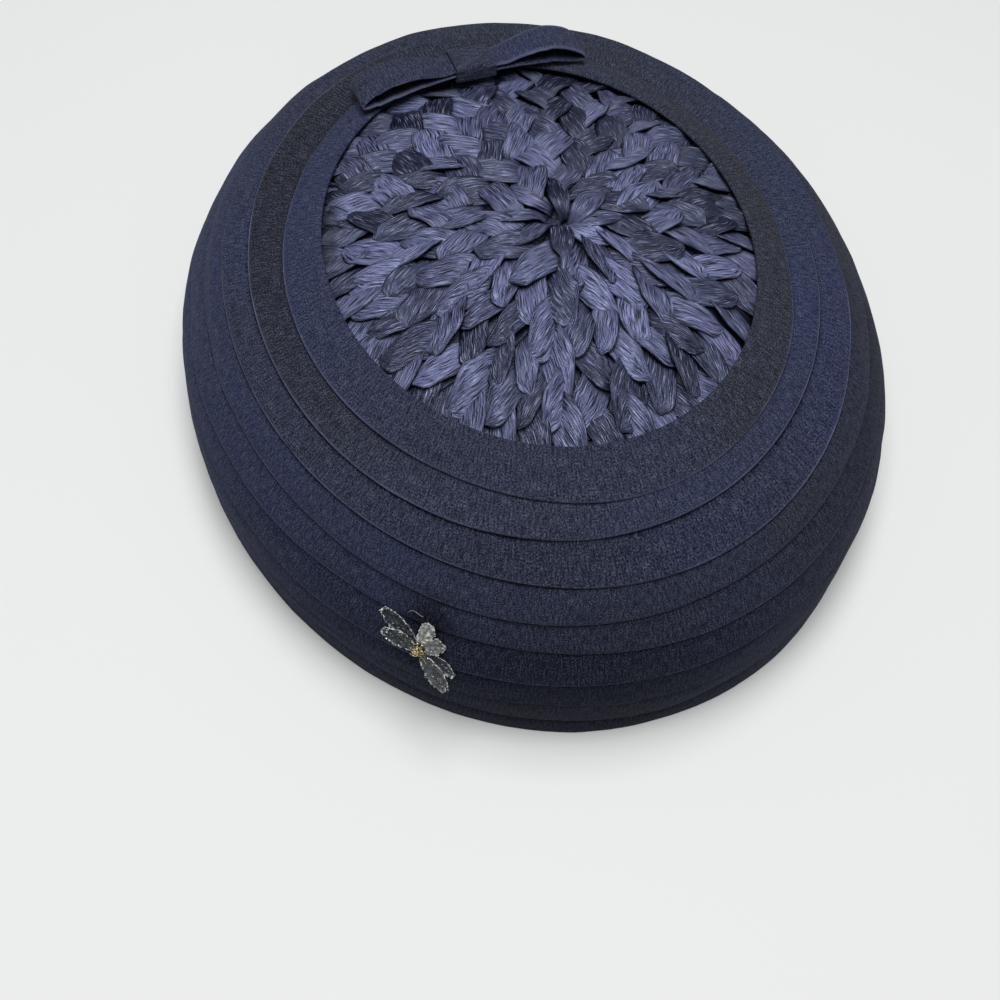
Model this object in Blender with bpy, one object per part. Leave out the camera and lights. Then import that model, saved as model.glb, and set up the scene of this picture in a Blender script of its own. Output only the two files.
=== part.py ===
"""A domed oval pillbox hat: a plaited straw crown tip inside nine lapped folds of cloth.

A flat bow lies at the back of the crown, and a small petal sprig sits on the front left of the side.
Units are metres and +Z is up. The origin is on the resting surface, under the middle of the rim. The
hat's long axis is Y, with the bow at its +Y end. Bearings are in degrees, counter-clockwise from +X.
"""

import math
from collections import namedtuple

import bmesh
import bpy
from mathutils import Vector

# Hat: size over the widest fold, and height of the top fold's inner edge
HAT_LENGTH = 0.208
HAT_WIDTH = 0.180
SIDE_HEIGHT = 0.059

# Cloth folds: a folded layer's thickness, the swell of each face and how far each one is tucked in
CLOTH_WALL = 0.0016
FOLD_SWELL = 0.0004
TUCK_SHARE = 0.40
CLEARANCE = 0.0003

# Straw crown tip
STRAW_WALL = 0.0020
CROWN_DOME = 0.0080
PLAIT_RELIEF = 0.0014
GATHER_ALONG_X = 0.0045
GATHER_ALONG_Y = -0.0025
GATHER_DIP = 0.0010
PLAIT_RINGS = 12
PLAIT_COLUMNS = 32

# Bow: over both loops, across the band, and through one open loop
BOW_LENGTH = 0.0615
BOW_WIDTH = 0.0130
BOW_WALL = 0.0009
LOOP_HEIGHT = 0.0036
KNOT_LENGTH = 0.0104
KNOT_WIDTH = 0.0108
KNOT_OVERHANG = 0.0022
BOW_TILT = 12.0
LEFT_LOOP_TURN = -1.5
RIGHT_LOOP_TURN = 10.0

# Where an open loop is fullest, as a share of its length, and the radius of the knot's corners in walls
LOOP_PEAK = 2 / 3
KNOT_ROUNDING = 0.75

# Sprig: where it sits, its bead and its petals
SPRIG_BEARING = 234.0
SPRIG_FOLD = 5.6
BEAD_DIAMETER = 0.0046
PETAL_WALL = 0.0008
PETAL_HEIGHT = 0.0013

# Fineness of the round pieces
AROUND = 48
LOOP_STEPS = 9
BED_STEPS = 5

# The lower edge of each fold, from the crown opening to the rim. Spread is a share of the hat's half
# size and height a share of SIDE_HEIGHT. Drift and waver carry the edge down by a share of a fold.
FoldEdge = namedtuple("FoldEdge", "spread height drift drift_bearing waver lobes waver_bearing")
FOLD_EDGES = (
    FoldEdge(0.570, 1.000, 0.00, 0, 0.07, 2, 310),
    FoldEdge(0.673, 0.920, 0.00, 0, 0.08, 3, 70),
    FoldEdge(0.760, 0.882, 0.17, 150, 0.04, 3, 0),
    FoldEdge(0.842, 0.820, 0.12, 200, 0.12, 2, 290),
    FoldEdge(0.903, 0.697, 0.00, 0, 0.07, 4, 245),
    FoldEdge(0.953, 0.578, 0.00, 0, 0.16, 2, 330),
    FoldEdge(0.989, 0.445, 0.00, 0, 0.09, 4, 215),
    FoldEdge(1.000, 0.302, 0.00, 0, 0.06, 5, 215),
    FoldEdge(0.994, 0.150, 0.00, 0, 0.18, 3, 265),
    FoldEdge(0.994, 0.000, 0.00, 0, 0.00, 3, 0),
)
FOLD_COUNT = len(FOLD_EDGES) - 1

# The sprig's petals. Bearing turns from along the fold towards the crown, length and width in metres,
# lift raises the tip, and layer 1 lies over layer 0.
Petal = namedtuple("Petal", "bearing length width lift layer")
PETALS = (
    Petal(139, 0.0102, 0.0038, 0.0010, 0),
    Petal(155, 0.0070, 0.0038, 0.0012, 1),
    Petal(80, 0.0052, 0.0048, 0.0014, 0),
    Petal(38, 0.0046, 0.0050, 0.0014, 1),
    Petal(-24, 0.0070, 0.0030, 0.0009, 0),
    Petal(-44, 0.0082, 0.0042, 0.0010, 1),
)

# Materials: colour, roughness and metallic value
Finish = namedtuple("Finish", "colour roughness metallic")
FINISHES = {
    "navy_cloth": Finish((0.022, 0.026, 0.048), 0.85, 0.0),
    "straw_ribbon": Finish((0.070, 0.078, 0.150), 0.45, 0.0),
    "sheer_petal": Finish((0.300, 0.330, 0.380), 0.30, 0.0),
    "gold_bead": Finish((0.620, 0.470, 0.180), 0.30, 1.0),
}


def clear_scene():
    """Remove every object of the open scene."""
    for old in list(bpy.data.objects):
        bpy.data.objects.remove(old, do_unlink=True)


def make_material(name):
    """Return a Principled material with the finish of that name."""
    finish = FINISHES[name]
    material = bpy.data.materials.new(name)
    material.use_nodes = True
    shader = material.node_tree.nodes["Principled BSDF"]
    shader.inputs["Base Color"].default_value = (*finish.colour, 1.0)
    shader.inputs["Roughness"].default_value = finish.roughness
    shader.inputs["Metallic"].default_value = finish.metallic
    return material


def add_object(name, mesh_data, material, collection, sharp_angle=50):
    """Turn a bmesh into an object with a material, smooth but for edges sharper than an angle."""
    mesh_data.normal_update()
    bmesh.ops.recalc_face_normals(mesh_data, faces=mesh_data.faces)
    mesh = bpy.data.meshes.new(name)
    mesh_data.to_mesh(mesh)
    mesh_data.free()
    mesh.shade_smooth()
    mesh.set_sharp_from_angle(angle=math.radians(sharp_angle))
    mesh.materials.append(material)
    piece = bpy.data.objects.new(name, mesh)
    collection.objects.link(piece)
    return piece


def bridge_rows(mesh_data, row, next_row):
    """Join two closed rows of vertices with a ring of quads."""
    count = len(row)
    for i in range(count):
        after = (i + 1) % count
        mesh_data.faces.new((row[i], row[after], next_row[after], next_row[i]))


def loft_ring(sections):
    """Loft closed sections, each a list of points, into a closed ring."""
    mesh_data = bmesh.new()
    rows = [[mesh_data.verts.new(point) for point in section] for section in sections]
    for i, row in enumerate(rows):
        bridge_rows(mesh_data, row, rows[(i + 1) % len(rows)])
    return mesh_data


def smooth_between(values, position):
    """Read a smooth curve through evenly spaced values at a fractional position."""
    last = len(values) - 1
    start = min(max(int(math.floor(position)), 0), last - 1)
    t = position - start
    before = values[max(start - 1, 0)]
    low, high = values[start], values[start + 1]
    after = values[min(start + 2, last)]
    slope_low = (high - before) / 2
    slope_high = (after - low) / 2
    return (
        low * (2 * t**3 - 3 * t**2 + 1)
        + slope_low * (t**3 - 2 * t**2 + t)
        + high * (3 * t**2 - 2 * t**3)
        + slope_high * (t**3 - t**2)
    )


def rim_vector(bearing):
    """Return the plan vector from the middle to the widest outline, as on an ellipse."""
    angle = math.radians(bearing)
    return Vector((HAT_WIDTH / 2 * math.cos(angle), HAT_LENGTH / 2 * math.sin(angle), 0.0))


def profile_point(fold, bearing):
    """Return (radius, height) of the hat's outline at a fractional fold number."""
    spread = smooth_between([edge.spread for edge in FOLD_EDGES], fold)
    height = smooth_between([edge.height for edge in FOLD_EDGES], fold)
    return Vector((rim_vector(bearing).length * spread, SIDE_HEIGHT * height))


def edge_point(number, bearing):
    """Return (radius, height) of a fold's lower edge, with its drift and waver."""
    edge = FOLD_EDGES[number]
    shift = edge.drift * math.cos(math.radians(bearing - edge.drift_bearing))
    shift += edge.waver * math.cos(math.radians(edge.lobes * (bearing - edge.waver_bearing)))
    return profile_point(number + shift, bearing)


def to_space(point, bearing):
    """Carry (radius, height) into space at a bearing."""
    return rim_vector(bearing).normalized() * point.x + Vector((0.0, 0.0, point.y))


def outward_of(along):
    """Return the direction out of the hat for a direction down its outline."""
    return Vector((-along.y, along.x))


def fold_lines(bearing):
    """Return each fold's start, lower edge and both directions at a bearing, from the crown down.

    A fold starts one wall and one clearance under the edge of the fold above it.
    """
    lines = []
    start = edge_point(0, bearing)
    for number in range(1, FOLD_COUNT + 1):
        edge = edge_point(number, bearing)
        along = (edge - start).normalized()
        outward = outward_of(along)
        lines.append((start, edge, along, outward))
        start = edge - outward * (CLOTH_WALL + CLEARANCE)
    return lines


def rolled_edge(edge, along, outward):
    """Return the outer shoulder, tip and inner shoulder of a rolled cloth edge."""
    back = edge - along * (CLOTH_WALL / 2)
    return [back, edge - outward * (CLOTH_WALL / 2), back - outward * CLOTH_WALL]


def hem_edge(edge, along):
    """Return the four points of the rim's flat hem, which stands on the resting surface."""
    corner = CLOTH_WALL / 6
    back = edge - along * corner
    inward = Vector((-1.0, 0.0))
    return [
        back,
        edge + inward * corner,
        edge + inward * (CLOTH_WALL - corner),
        back + inward * CLOTH_WALL,
    ]


def fold_section(number, lines):
    """Return one fold's closed section in the half-plane of the given fold lines."""
    start, edge, along, outward = lines[number - 1]
    middle = (start + edge) / 2 + outward * FOLD_SWELL
    lower = hem_edge(edge, along) if number == FOLD_COUNT else rolled_edge(edge, along, outward)
    face = [middle, *lower, middle - outward * CLOTH_WALL]
    if number == 1:
        return rolled_edge(start, -along, outward)[::-1] + face
    above_start, above_edge, above_along, above_outward = lines[number - 2]
    tuck = above_along * ((above_edge - above_start).length * TUCK_SHARE)
    corner = (outward + above_outward).normalized()
    inner_start = start - corner * (CLOTH_WALL / corner.dot(outward))
    top = start - tuck
    return [top, start, *face, inner_start, top - above_outward * CLOTH_WALL]


def bearings():
    """Return the bearings of the sections round the hat."""
    return [360.0 * i / AROUND for i in range(AROUND)]


def build_fold(number, material, collection):
    """Build one lapped fold of cloth round the hat."""
    sections = []
    for bearing in bearings():
        section = fold_section(number, fold_lines(bearing))
        sections.append([to_space(point, bearing) for point in section])
    return add_object(f"fold_{number}", loft_ring(sections), material, collection)


def crown_seat(bearing):
    """Return the crown tip's top at the opening and at the end of its tucked margin, and its outward."""
    start, edge, along, outward = fold_lines(bearing)[0]
    seat = start - outward * (CLOTH_WALL + CLEARANCE)
    margin = seat + along * ((edge - start).length * TUCK_SHARE)
    return seat, margin, outward


def crown_level():
    """Return the mean height of the crown tip's top at the opening."""
    return sum(crown_seat(bearing)[0].y for bearing in bearings()) / AROUND


class CrownTip:
    """The plaited straw disc: a dome of leaf-shaped pads round an off-centre gather."""

    def __init__(self):
        self.level = crown_level()
        self.mesh_data = bmesh.new()

    def row(self, share, turn, drop):
        """Add a row of vertices at a share of the way from the gather to the opening.

        Turn is in columns, and drop lowers the row from the top of the straw.
        """
        gather = Vector((GATHER_ALONG_X, GATHER_ALONG_Y, 0.0))
        row = []
        for column in range(PLAIT_COLUMNS):
            bearing = 360.0 * (column + turn) / PLAIT_COLUMNS
            seat = to_space(crown_seat(bearing)[0], bearing)
            point = gather.lerp(seat, share)
            dome = CROWN_DOME * (1 - share**2)
            point.z = self.level + (seat.z - self.level) * share + dome - drop
            row.append(self.mesh_data.verts.new(point))
        return row

    def margin_row(self, turn, drop):
        """Add the row of vertices at the end of the margin that is tucked under the first fold."""
        row = []
        for column in range(PLAIT_COLUMNS):
            bearing = 360.0 * (column + turn) / PLAIT_COLUMNS
            _, margin, outward = crown_seat(bearing)
            row.append(self.mesh_data.verts.new(to_space(margin - outward * drop, bearing)))
        return row

    def gather_vertex(self, drop):
        """Add the vertex at the gather, which dips a little into the dome."""
        height = self.level + CROWN_DOME - GATHER_DIP - drop
        return self.mesh_data.verts.new((GATHER_ALONG_X, GATHER_ALONG_Y, height))

    def close_row(self, row, middle):
        """Close the hole inside a row with a fan to its middle vertex."""
        for i, corner in enumerate(row):
            self.mesh_data.faces.new((corner, row[(i + 1) % len(row)], middle))

    def add_plait(self, rows):
        """Cover the dome with staggered pads, each raised in its middle. Rows run outwards."""
        pads = []
        middle = self.gather_vertex(0.0)
        for ring, row in enumerate(rows, start=1):
            for i, start in enumerate(row):
                end = row[(i + 1) % PLAIT_COLUMNS]
                between = (i + ring % 2) % PLAIT_COLUMNS
                inner = rows[ring - 2][between] if ring > 1 else middle
                if ring == len(rows):
                    self.mesh_data.faces.new((start, end, inner))
                    continue
                pads.append(self.mesh_data.faces.new((start, rows[ring][between], end, inner)))
        bmesh.ops.poke(self.mesh_data, faces=pads, offset=PLAIT_RELIEF)

    def build(self, material, collection):
        """Build the disc, with its margin tucked under the first fold."""
        turns = [0.5 * (ring % 2) for ring in range(1, PLAIT_RINGS + 1)]
        rows = [self.row(ring / PLAIT_RINGS, turn, 0.0) for ring, turn in enumerate(turns, start=1)]
        self.add_plait(rows)
        edge_turn = turns[-1]
        margin = self.margin_row(edge_turn, 0.0)
        under = [self.margin_row(edge_turn, STRAW_WALL)]
        under += [self.row(share, edge_turn, STRAW_WALL) for share in (1.0, 2 / 3, 1 / 3)]
        bridge_rows(self.mesh_data, rows[-1], margin)
        bridge_rows(self.mesh_data, margin, under[0])
        for row, next_row in zip(under, under[1:]):
            bridge_rows(self.mesh_data, row, next_row)
        self.close_row(under[-1], self.gather_vertex(STRAW_WALL))
        return add_object("crown_tip", self.mesh_data, material, collection, sharp_angle=15)


def roof_height(x, y):
    """Return a height that the hat's top stays under at a place in plan."""
    spread = math.hypot(x / (HAT_WIDTH / 2), y / (HAT_LENGTH / 2))
    opening = FOLD_EDGES[0].spread
    if spread < opening:
        dome = crown_level() + CROWN_DOME * (1 - (spread / opening) ** 2) + PLAIT_RELIEF
        return max(dome, SIDE_HEIGHT)
    lower = next((i for i, edge in enumerate(FOLD_EDGES) if edge.spread > spread), FOLD_COUNT)
    low, high = FOLD_EDGES[lower - 1], FOLD_EDGES[lower]
    share = (spread - low.spread) / (high.spread - low.spread)
    return SIDE_HEIGHT * (low.height + (high.height - low.height) * share) + FOLD_SWELL


class BowFrame:
    """The bow's place: its middle over the crown opening's far edge, and its three directions."""

    def __init__(self):
        tilt = math.radians(BOW_TILT)
        self.right = Vector((1.0, 0.0, 0.0))
        self.back = Vector((0.0, math.cos(tilt), -math.sin(tilt)))
        self.up = Vector((0.0, math.sin(tilt), math.cos(tilt)))
        self.edge = to_space(edge_point(0, 90.0), 90.0)
        self.knot_bed = self.bed(0.0, -KNOT_OVERHANG, KNOT_WIDTH)
        self.loop_floor = self.knot_bed + 1.5 * BOW_WALL + CLEARANCE

    def place(self, along, across, height):
        """Return the point at a distance along the bow, across it and above its plane."""
        return self.edge + self.right * along + self.back * across + self.up * height

    def bed(self, along, middle, width):
        """Return the height over the bow's plane at which a band of that width clears the hat."""
        heights = []
        for i in range(BED_STEPS):
            across = middle + width * (i / (BED_STEPS - 1) - 0.5)
            foot = self.place(along, across, 0.0)
            heights.append((roof_height(foot.x, foot.y) - foot.z) * self.up.z)
        return max(heights) + CLEARANCE


def teardrop(share):
    """Return an open loop's fullness along its length: none at both ends, and 1 at its peak."""
    return share * math.sqrt(1 - share) / (LOOP_PEAK * math.sqrt(1 - LOOP_PEAK))


def loop_path(frame, side, turn):
    """Return the loop's middle line as (along, across, height, width), out on top and back below.

    Inside the knot both layers lie flat on each other. Past it they part, and meet again at a round end.
    """
    outer = BOW_LENGTH / 2 - BOW_WALL / 2
    knot_side = KNOT_LENGTH / 2 + CLEARANCE
    knot_end = KNOT_WIDTH - 2 * (BOW_WALL + CLEARANCE)
    flat = (BOW_WALL + CLEARANCE) / 2
    top = [(side * (BOW_WALL / 2 + CLEARANCE), -KNOT_OVERHANG, frame.loop_floor + 2 * flat, knot_end)]
    below = [(top[0][0], -KNOT_OVERHANG, frame.loop_floor, knot_end)]
    for i in range(LOOP_STEPS + 1):
        share = math.sin(math.pi / 2 * i / LOOP_STEPS)
        past_knot = (outer - knot_side) * share
        reach = side * (knot_side + past_knot)
        width = knot_end + (BOW_WIDTH - knot_end) * share
        across = -KNOT_OVERHANG + past_knot * math.tan(math.radians(turn))
        bed = min(frame.bed(reach, across, width), frame.knot_bed) + BOW_WALL / 2
        floor = frame.loop_floor + (bed - frame.loop_floor) * share
        half = LOOP_HEIGHT / 2 * teardrop(share)
        if share < LOOP_PEAK:
            half = max(half, flat)
            middle = half
        else:
            middle = LOOP_HEIGHT / 2
        top.append((reach, across, floor + middle + half, width))
        below.append((reach, across, floor + middle - half, width))
    return top + below[-2::-1]


def band_sections(frame, path):
    """Return the sections of a closed band of cloth along a path across the bow's plane."""
    sections = []
    count = len(path)
    for i, (along, across, height, width) in enumerate(path):
        before = Vector((path[i - 1][0], path[i - 1][2]))
        here = Vector((along, height))
        after = Vector((path[(i + 1) % count][0], path[(i + 1) % count][2]))
        into = (here - before).normalized()
        out_of = (after - here).normalized()
        mean = (into + out_of).normalized()
        normal = Vector((-mean.y, mean.x))
        offset = normal * (BOW_WALL / 2 / max(mean.dot(into), 0.5))
        section = []
        for sign, sides in ((1, (-0.5, 0.0, 0.5)), (-1, (0.5, 0.0, -0.5))):
            for side in sides:
                moved = here + offset * sign
                section.append(frame.place(moved.x, across + width * side, moved.y))
        sections.append(section)
    return sections


def build_bow_loop(name, side, turn, material, collection):
    """Build one open loop of the bow, on the left (side -1) or right (side 1) of the knot."""
    frame = BowFrame()
    sections = band_sections(frame, loop_path(frame, side, turn))
    return add_object(name, loft_ring(sections), material, collection)


def rounded_box(half_across, half_height, radius):
    """Return the points and normals of a box outline with round corners, three points a corner."""
    outline = []
    for quarter, (side, level) in enumerate(((1, 1), (-1, 1), (-1, -1), (1, -1))):
        corner = Vector((side * (half_across - radius), level * (half_height - radius)))
        for step in range(3):
            angle = math.pi / 2 * (quarter + step / 2)
            normal = Vector((math.cos(angle), math.sin(angle)))
            outline.append((corner + normal * radius, normal))
    return outline


def build_bow_knot(material, collection):
    """Build the strap that is wrapped round the inner ends of both loops."""
    frame = BowFrame()
    half_height = (3 * BOW_WALL + 3 * CLEARANCE) / 2
    middle = frame.knot_bed + BOW_WALL / 2 + half_height
    half_width = (KNOT_WIDTH - BOW_WALL) / 2
    sections = []
    for point, normal in rounded_box(half_width, half_height, BOW_WALL * KNOT_ROUNDING):
        section = []
        for side, depth in ((-0.5, -0.5), (0.5, -0.5), (0.5, 0.5), (-0.5, 0.5)):
            moved = point + normal * (depth * BOW_WALL)
            section.append(frame.place(side * KNOT_LENGTH, moved.x - KNOT_OVERHANG, middle + moved.y))
        sections.append(section)
    return add_object("bow_knot", loft_ring(sections), material, collection)


class SprigFrame:
    """The sprig's seat on its fold, with directions along the fold, towards the crown and outward."""

    def __init__(self):
        number = math.ceil(SPRIG_FOLD)
        start, edge, along, outward = fold_lines(SPRIG_BEARING)[number - 1]
        share = SPRIG_FOLD - math.floor(SPRIG_FOLD)
        swell = FOLD_SWELL * (1 - abs(2 * share - 1))
        seat = start.lerp(edge, share) + outward * (swell + CLEARANCE)
        radial = rim_vector(SPRIG_BEARING).normalized()
        self.seat = to_space(seat, SPRIG_BEARING)
        self.outward = radial * outward.x + Vector((0.0, 0.0, outward.y))
        self.upward = -(radial * along.x + Vector((0.0, 0.0, along.y)))
        self.sideways = Vector((0.0, 0.0, 1.0)).cross(radial).normalized()


def build_petal(number, petal, frame, material, collection):
    """Build one thin petal, lens-shaped, from the bead out to its lifted tip."""
    mesh_data = bmesh.new()
    bmesh.ops.create_uvsphere(mesh_data, u_segments=10, v_segments=8, radius=0.5)
    angle = math.radians(petal.bearing)
    forward = frame.sideways * math.cos(angle) + frame.upward * math.sin(angle)
    across = frame.outward.cross(forward)
    root = BEAD_DIAMETER / 2 + CLEARANCE
    for vert in mesh_data.verts:
        share = vert.co.z + 0.5
        height = PETAL_HEIGHT + petal.layer * (PETAL_WALL + CLEARANCE) + petal.lift * share**2
        height += vert.co.y * PETAL_WALL
        reach = root + petal.length * share
        vert.co = frame.seat + forward * reach + across * (vert.co.x * petal.width) + frame.outward * height
    return add_object(f"sprig_petal_{number}", mesh_data, material, collection)


def build_sprig_centre(frame, material, collection):
    """Build the round bead cluster that stands on the fold."""
    mesh_data = bmesh.new()
    bmesh.ops.create_uvsphere(mesh_data, u_segments=12, v_segments=8, radius=BEAD_DIAMETER / 2)
    bmesh.ops.translate(mesh_data, vec=frame.seat + frame.outward * (BEAD_DIAMETER / 2), verts=mesh_data.verts)
    return add_object("sprig_centre", mesh_data, material, collection)


def main():
    """Build every piece of the hat in one collection."""
    clear_scene()
    collection = bpy.data.collections.new("pillbox_hat")
    bpy.context.scene.collection.children.link(collection)
    materials = {name: make_material(name) for name in FINISHES}
    cloth = materials["navy_cloth"]
    for number in range(1, FOLD_COUNT + 1):
        build_fold(number, cloth, collection)
    CrownTip().build(materials["straw_ribbon"], collection)
    build_bow_loop("bow_loop_left", -1, LEFT_LOOP_TURN, cloth, collection)
    build_bow_loop("bow_loop_right", 1, RIGHT_LOOP_TURN, cloth, collection)
    build_bow_knot(cloth, collection)
    frame = SprigFrame()
    for number, petal in enumerate(PETALS, start=1):
        build_petal(number, petal, frame, materials["sheer_petal"], collection)
    build_sprig_centre(frame, materials["gold_bead"], collection)


main()
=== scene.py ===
"""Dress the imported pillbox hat: lapped crepe folds, a plaited straw crown, a flat bow and a petal sprig.

Each solid of the frame is replaced by a finer piece in its place. Lengths are in metres and +Z is up.
Bearings are in degrees, counter-clockwise from +X, and the bow lies at the hat's +Y end.
"""

import logging
import math
import random
from dataclasses import dataclass, field
from enum import Enum
from typing import Callable, NamedTuple, Sequence

import bmesh
import bpy
from mathutils import Matrix, Vector, noise


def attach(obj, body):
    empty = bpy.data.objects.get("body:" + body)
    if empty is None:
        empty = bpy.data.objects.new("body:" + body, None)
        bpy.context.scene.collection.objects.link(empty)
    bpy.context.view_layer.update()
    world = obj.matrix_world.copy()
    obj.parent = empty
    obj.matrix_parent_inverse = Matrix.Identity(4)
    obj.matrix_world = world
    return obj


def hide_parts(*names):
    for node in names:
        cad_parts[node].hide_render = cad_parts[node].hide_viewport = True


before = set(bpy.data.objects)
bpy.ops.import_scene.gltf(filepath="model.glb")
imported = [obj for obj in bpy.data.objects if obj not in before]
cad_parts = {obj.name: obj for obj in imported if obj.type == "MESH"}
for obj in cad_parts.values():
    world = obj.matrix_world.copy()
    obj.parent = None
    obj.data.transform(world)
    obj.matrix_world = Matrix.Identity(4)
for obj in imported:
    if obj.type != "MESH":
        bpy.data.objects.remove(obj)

log = logging.getLogger("hat")

CLOTH_UV = "cloth"

Colour = tuple[float, float, float]
Material = bpy.types.Material
Piece = bpy.types.Object
Socket = bpy.types.NodeSocket


class Slot(Enum):
    """Names of material slots."""

    CLOTH = "navy_cloth"
    STRAW = "straw_ribbon"
    PETAL = "sheer_petal"
    BEAD = "gold_bead"


class FoldEdge(NamedTuple):
    """The lower edge of a fold.

    Attributes:
        spread: Its reach from the middle, as a share of the hat's half size.
        height: Its height, as a share of the side's height.
        drift: How far it lies lower at one bearing and higher at the opposite one, in folds.
        drift_bearing: Where the drift is lowest.
        waver: How far it waves up and down, in folds.
        lobes: Waves round the hat.
        waver_bearing: Where a wave is lowest.
    """

    spread: float
    height: float
    drift: float
    drift_bearing: float
    waver: float
    lobes: int
    waver_bearing: float


class FoldLine(NamedTuple):
    """A fold at one bearing in the half-plane (radius, height).

    Attributes:
        start: Where it comes out from under the fold above it.
        edge: Its lower edge.
        along: Direction from start to edge.
        outward: Direction away from the hat, square to along.
    """

    start: Vector
    edge: Vector
    along: Vector
    outward: Vector


def cosine(degrees: float) -> float:
    """Return the cosine of an angle in degrees."""
    return math.cos(math.radians(degrees))


def bell(distance: float, reach: float) -> float:
    """Return a soft bump that is 1 at distance 0 and small past its reach."""
    return math.exp(-((distance / reach) ** 2))


def turn_between(bearing: float, other: float) -> float:
    """Return the signed angle in degrees from the other bearing to this one, from -180 to 180."""
    return (bearing - other + 180.0) % 360.0 - 180.0


def plan_direction(bearing: float) -> Vector:
    """Return the level direction at a bearing."""
    return Vector((cosine(bearing), cosine(bearing - 90.0), 0.0))


def smooth_step(low: float, high: float, value: float) -> float:
    """Return 0 below low, 1 above high, and a soft step between them."""
    share = min(max((value - low) / (high - low), 0.0), 1.0)
    return share * share * (3 - 2 * share)


class Patch(NamedTuple):
    """A soft patch that is strongest at one bearing.

    Attributes:
        share: Its strength there.
        bearing: Where it is strongest.
        reach: How far round the hat it fades, in degrees.
    """

    share: float
    bearing: float
    reach: float

    def at(self, bearing: float) -> float:
        """Return its strength at a bearing."""
        return self.share * bell(turn_between(bearing, self.bearing), self.reach)


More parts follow.
